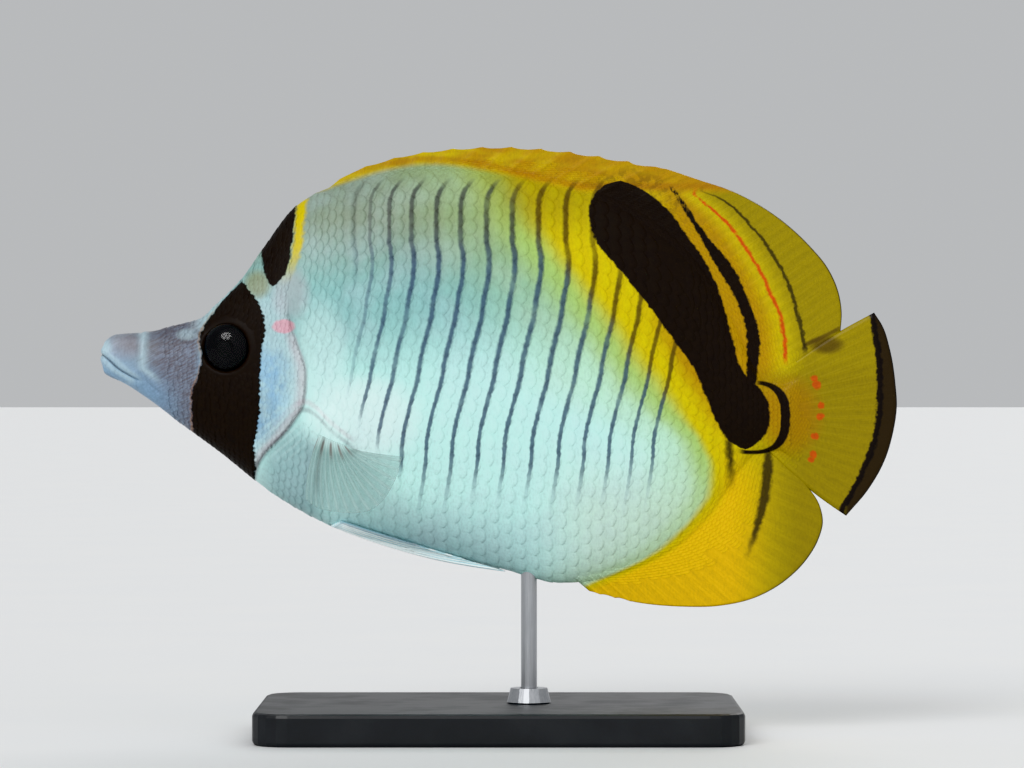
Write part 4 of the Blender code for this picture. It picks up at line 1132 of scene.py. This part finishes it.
PECTORAL_ROOT = [(62.6, 39.6), (54.8, 42.5)]
PECTORAL_SWEEP = [(0.34, 0.94, 0.04), (0.2, 0.88, 0.4), (-0.08, 0.8, 0.59), (-0.26, 0.66, 0.7)]
PECTORAL_LENGTH = [(0, 32), (0.15, 35.5), (0.35, 36.5), (0.66, 30), (1, 21)]
PECTORAL_CUP, PECTORAL_RAYS = 3.0, 15
PECTORAL_ROWS, PECTORAL_ROOT_HALF, PECTORAL_THINNING, PECTORAL_RIDGE = 40, 0.6, 0.5, 0.09
PECTORAL_SUNK = -0.09  # where it starts on its way out, inside the shoulder
CLEAR_WEB, CLEAR_RAY = screen_colour(150, 182, 178), screen_colour(178, 204, 200)
# Painted shadow colours: between the ray bases, and along a fold of the fan.
SLOT_SHADOW, PLEAT_SHADOW = screen_colour(116, 74, 66), screen_colour(92, 98, 92)


def ray_grid(rays, start, rows):
    """Places across a paired fin, the count of rays there, and shares of the way out to its margin."""
    across = np.linspace(0, 1, rays * PER_RAY + 1)[:, None]
    reach = np.concatenate([[start], np.linspace(start, 0.97, rows), [0.99, 1]])[None, :]
    return across, np.minimum(across * rays, rays - 1e-6), reach


def blade(name, middle, half, across, pitch, reach, rays):
    """A paired fin from its middle points and half its thickness, thinned out at its first and last ray."""
    sides = np.sqrt(np.clip(np.minimum(across, 1 - across) * rays * 3, 0, 1))
    spots = [
        np.stack(np.broadcast_arrays(0.02 + 0.96 * across, low + 0.47 * reach), -1) for low in (0.01, 0.52)
    ]
    return thin_closed(name, middle, half * sides, pitch, reach, spots)


clear_fins, pitch, along = fin_finish("fish_clear_fins")
ray = abs(pitch.fraction() - 0.5).rise(0.3, 0.05)
bundle = abs((pitch / 3).fraction() - 0.5)
# Painted shadows in the gaps between bundles of rays near the root.
slot_shadows = bundle.rise(0.26, 0.46) * along.rise(0.32, 0.12) * along.rise(0.0, 0.06)
# Painted shadow along one fold of the fan.
pleat_shadow = abs(pitch - PECTORAL_RAYS * 0.82).rise(1.2, 0.2) * along.rise(1, 0.5)
colour = clear_fins.mix(ray * 0.6, CLEAR_WEB, CLEAR_RAY)
colour = clear_fins.mix(along.rise(0.2, 0.0) * 0.6, colour, PEARL_WHITE)
colour = clear_fins.mix(slot_shadows * 0.75, colour, SLOT_SHADOW)
colour = clear_fins.mix(pleat_shadow * 0.45, colour, PLEAT_SHADOW)
thickness = 0.28 + along.rise(1, 0.5) * 0.14 + ray * 0.14 + along.rise(0.3, 0.05) * 0.3
clear_fins.set(Base_Color=colour, Alpha=thickness)
clear_fins.bump((along * 200).wave() * 0.2 + clear_fins.noise(0.6, 2), 0.04, 0.4)
across, pitch, reach = ray_grid(PECTORAL_RAYS, PECTORAL_SUNK, PECTORAL_ROWS)
root = trace(PECTORAL_ROOT)(across)
sweep = trace(PECTORAL_SWEEP)(across)
sweep = sweep / np.linalg.norm(sweep, axis=-1, keepdims=True) * smooth(PECTORAL_LENGTH)(across)[..., None]
way = sweep * reach[..., None]
shown = np.clip(reach, 0, 1)
half = PECTORAL_ROOT_HALF - PECTORAL_THINNING * shown ** 0.5
half = half + PECTORAL_RIDGE * forked_rays(pitch, shown, 1) * (1 - 0.5 * shown)
out = body_half(root[..., 0], root[..., 1]) + way[..., 1]
for side, name in SIDES:
    middle = np.stack([
        root[..., 0] + way[..., 0] + PECTORAL_CUP * reach ** 2, side * out, root[..., 1] - way[..., 2],
    ], -1)
    piece = blade("pectoral_rays_" + name, middle, half, across, pitch, shown, PECTORAL_RAYS)
    settle(piece, clear_fins, "fin_clear", "pectoral_fin_" + name)

# The pelvic fins. A spine and five rays on each side, folded back along the keel of the belly in a narrow
# white blade with a blue sheen.

PELVIC_ROOT = [(57.5, 20.4), (60.5, 21.6)]
PELVIC_TIPS = [(101.3, 8.9), (98.5, 9.8), (94, 11.1), (88, 12.9), (82, 14.7), (77, 16.3)]
PELVIC_BOW, PELVIC_RAYS = 1.7, 6
PELVIC_ROWS, PELVIC_ROOT_HALF, PELVIC_THINNING, PELVIC_RIDGE = 60, 0.45, 0.25, 0.08
PELVIC_GAP = 0.9  # between the folded fin and the belly
WHITE_WEB, WHITE_RAY, BLUE_EDGE = screen_colour(176, 228, 238), screen_colour(244, 255, 255), screen_colour(76, 132, 158)

white_fins, pitch, along = fin_finish("fish_white_fins")
ray = abs(pitch.fraction() - 0.5).rise(0.3, 0.1)
colour = white_fins.mix(ray * 0.7 + 0.3, WHITE_WEB, WHITE_RAY)
colour = white_fins.mix(pitch.rise(PELVIC_RAYS - 1.6, PELVIC_RAYS - 0.4) * 0.5, colour, BLUE_EDGE)
white_fins.set(Base_Color=colour)
white_fins.bump((along * 180).wave() * 0.3 + white_fins.noise(0.6, 2), 0.05, 0.5)
across, pitch, reach = ray_grid(PELVIC_RAYS, 0, PELVIC_ROWS)
root, tips = trace(PELVIC_ROOT)(across), trace(PELVIC_TIPS)(across)
station, height = np.moveaxis(root + (tips - root) * reach[..., None], -1, 0)
height = height - PELVIC_BOW * (1 - across) * np.sin(math.pi * reach)
ridge = PELVIC_RIDGE * ease(reach / 0.1) * (1 - 0.5 * reach)
half = PELVIC_ROOT_HALF - PELVIC_THINNING * reach ** 0.6 + ridge * forked_rays(pitch, reach, 1)
flank = body_half(station, np.maximum(height, belly(station) + 0.5))
out = flank + PELVIC_GAP * ease(reach / 0.12) + half
for side, name in SIDES:
    middle = np.stack([station, side * out, height], -1)
    piece = blade("pelvic_rays_" + name, middle, half, across, pitch, reach, PELVIC_RAYS)
    settle(piece, white_fins, "fin_white", "pelvic_fin_" + name)

# The eyes. Balls of glass-clear jelly flattened from side to side, with a near-black iris round a wide round
# pupil and a thin brassy ring at its outer edge. Each is cast in dark resin under a clear dome.

EYE_RADIUS, EYE_HALF_DEPTH, EYE_BULGE, EYE_LEAN = 6.4, 3.9, 1.6, 14.0
IRIS_SHRINK = 0.93
EYE_SEGMENTS, EYE_RINGS = 64, 40
DOME_ROUGHNESS, DOME_IOR = 0.03, 1.33
PUPIL_RADIUS, PUPIL_SUNK = 0.4, 0.16  # as shares of the ball's radius and half depth
IRIS_DARK, IRIS_THREAD = screen_colour(4, 3, 4), screen_colour(11, 10, 14)
BRASS, PUPIL = screen_colour(120, 86, 34), screen_colour(3, 3, 4)

iris_finish = Finish("fish_eye", 0.4, Specular_IOR_Level=0.2)
round_eye, from_pole = iris_finish.pattern("UVMap")
threads = iris_finish.grain(iris_finish.joined(round_eye * 60, from_pole * 6), 5, 3)
iris = iris_finish.mix(threads.rise(0.35, 0.7), IRIS_DARK, IRIS_THREAD)
brass = from_pole.rise(0.60, 0.565) * from_pole.rise(0.5, 0.535) * threads.rise(0.3, 0.6)
iris = iris_finish.mix(brass * 0.2, iris, BRASS)
iris_finish.set(Base_Color=iris_finish.mix(from_pole.rise(0.865, 0.875), iris, PUPIL))
dome_finish = Finish("fish_eye_dome", DOME_ROUGHNESS, Transmission_Weight=1.0, IOR=DOME_IOR)
sunk = EYE_HALF_DEPTH - EYE_BULGE
lean = math.radians(EYE_LEAN)
plain = float(body_half(np.array(EYE_STATION), np.array(EYE_HEIGHT)))
for side, name in SIDES:
    centre = (EYE_STATION + sunk * math.sin(lean), side * (plain - sunk * math.cos(lean)), EYE_HEIGHT)
    for part, finish, share in (("iris_", iris_finish, IRIS_SHRINK), ("eye_dome_", dome_finish, 1.0)):
        bpy.ops.object.select_all(action="DESELECT")
        bpy.ops.mesh.primitive_uv_sphere_add(segments=EYE_SEGMENTS, ring_count=EYE_RINGS, radius=1)
        ball = bpy.context.object
        ball.name = ball.data.name = part + name
        spots = np.empty(len(ball.data.vertices) * 3)
        ball.data.vertices.foreach_get("co", spots)
        x, z, outwards = spots.reshape(-1, 3).T
        radius = np.hypot(x, z)
        sink = PUPIL_SUNK * ease((PUPIL_RADIUS - radius) / 0.05) * (outwards > 0) * (part == "iris_")
        x, z = EYE_RADIUS * share * x, EYE_RADIUS * share * z
        out = EYE_HALF_DEPTH * (share * outwards - sink) * side
        turned = np.stack([
            centre[0] + x * math.cos(lean) - out * math.sin(lean) * side,
            centre[1] + x * math.sin(lean) * side + out * math.cos(lean), centre[2] + z,
        ], -1)
        ball.data.vertices.foreach_set("co", in_row(turned).ravel())
        close_up(ball)
        settle(ball, finish, "eye", "eye_" + name)

# The stand. A flat steel plate with a satin black powder coat, and one rod of drawn steel that screws into
# it under a turned collar and runs up into the belly.

COAT_BLACK, COAT_WORN = screen_colour(34, 35, 37), screen_colour(52, 53, 55)
STEEL_DARK, STEEL_LIGHT = screen_colour(150, 152, 156), screen_colour(198, 200, 203)

plate_finish = Finish("stand_plate")
wear = plate_finish.noise(14, 4).rise(0.4, 0.75)
peel = plate_finish.noise(0.9, 2)
worn = plate_finish.mix(wear * 0.4, COAT_BLACK, COAT_WORN)
plate_finish.set(Base_Color=worn, Roughness=0.42 + wear * 0.14)
plate_finish.bump(peel, 0.05, 0.5)
steel_finish = Finish("stand_steel", Metallic=1.0)
drawn = steel_finish.noise(0.25, 3, (1, 1, 0.04))
steel_finish.set(Base_Color=steel_finish.mix(drawn, STEEL_DARK, STEEL_LIGHT), Roughness=0.22 + drawn * 0.2)
steel_finish.bump(drawn, 0.02, 0.4)
for node, finish in (
    ("stand_base", plate_finish), ("stand_rod", steel_finish), ("stand_collar", steel_finish)
):
    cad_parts[node].material_slots[0].material = finish.material

# The studio. A wide pale floor, a broad soft light over the fish's left shoulder, a wider one over the
# camera, a weaker one behind, and a camera level with the fish that looks square at its left side.

FLOOR_SIZE, FLOOR_ROUGHNESS = 30.0, 0.7
FLOOR_GREY, FLOOR_PALE = screen_colour(228, 229, 230), screen_colour(232, 232, 231)
SKY, SKY_STRENGTH = (0.96, 0.98, 1, 1), 0.54
SUNS = [
    ("key", (0.42, 0.8, -0.68), 1.2, 30), ("front", (-0.1, 1, -0.4), 0.75, 110),
    ("back", (-0.3, -0.85, -0.7), 0.7, 40),
]  # names, ways, strengths, and how many degrees of the sky each one fills
SENSOR_WIDTH, NEAREST, FARTHEST = 36, 0.05, 30
CAMERA_STATION, CAMERA_HEIGHT, CAMERA_DISTANCE, LENS = 102.75, 55.75, 1067.0, 150.0

bpy.ops.object.select_all(action="DESELECT")
bpy.ops.mesh.primitive_plane_add(size=FLOOR_SIZE)
floor = bpy.context.object
floor.name = floor.data.name = "floor"
floor_finish = Finish("studio_floor", FLOOR_ROUGHNESS)
floor_finish.set(Base_Color=floor_finish.mix(floor_finish.noise(60, 3), FLOOR_GREY, FLOOR_PALE))
floor.data.materials.append(floor_finish.material)

world = bpy.data.worlds.new("studio")
bpy.context.scene.world = world
world.use_nodes = True
background = world.node_tree.nodes["Background"]
background.inputs["Color"].default_value = SKY
background.inputs["Strength"].default_value = SKY_STRENGTH
bpy.context.scene.view_settings.view_transform = "Khronos PBR Neutral"
for name, way, strength, spread in SUNS:
    lamp = bpy.data.lights.new(name, "SUN")
    lamp.energy, lamp.angle = strength, math.radians(spread)
    sun = bpy.data.objects.new(name, lamp)
    bpy.context.scene.collection.objects.link(sun)
    sun.rotation_euler = Vector(way).to_track_quat("-Z", "Y").to_euler()

camera = bpy.data.objects.new("camera", bpy.data.cameras.new("camera"))
bpy.context.scene.collection.objects.link(camera)
camera.data.lens, camera.data.sensor_width = LENS, SENSOR_WIDTH
camera.location = in_row((CAMERA_STATION, -CAMERA_DISTANCE, CAMERA_HEIGHT))
camera.rotation_euler = (math.pi / 2, 0, 0)
camera.data.clip_start, camera.data.clip_end = NEAREST, FARTHEST
bpy.context.scene.camera = camera
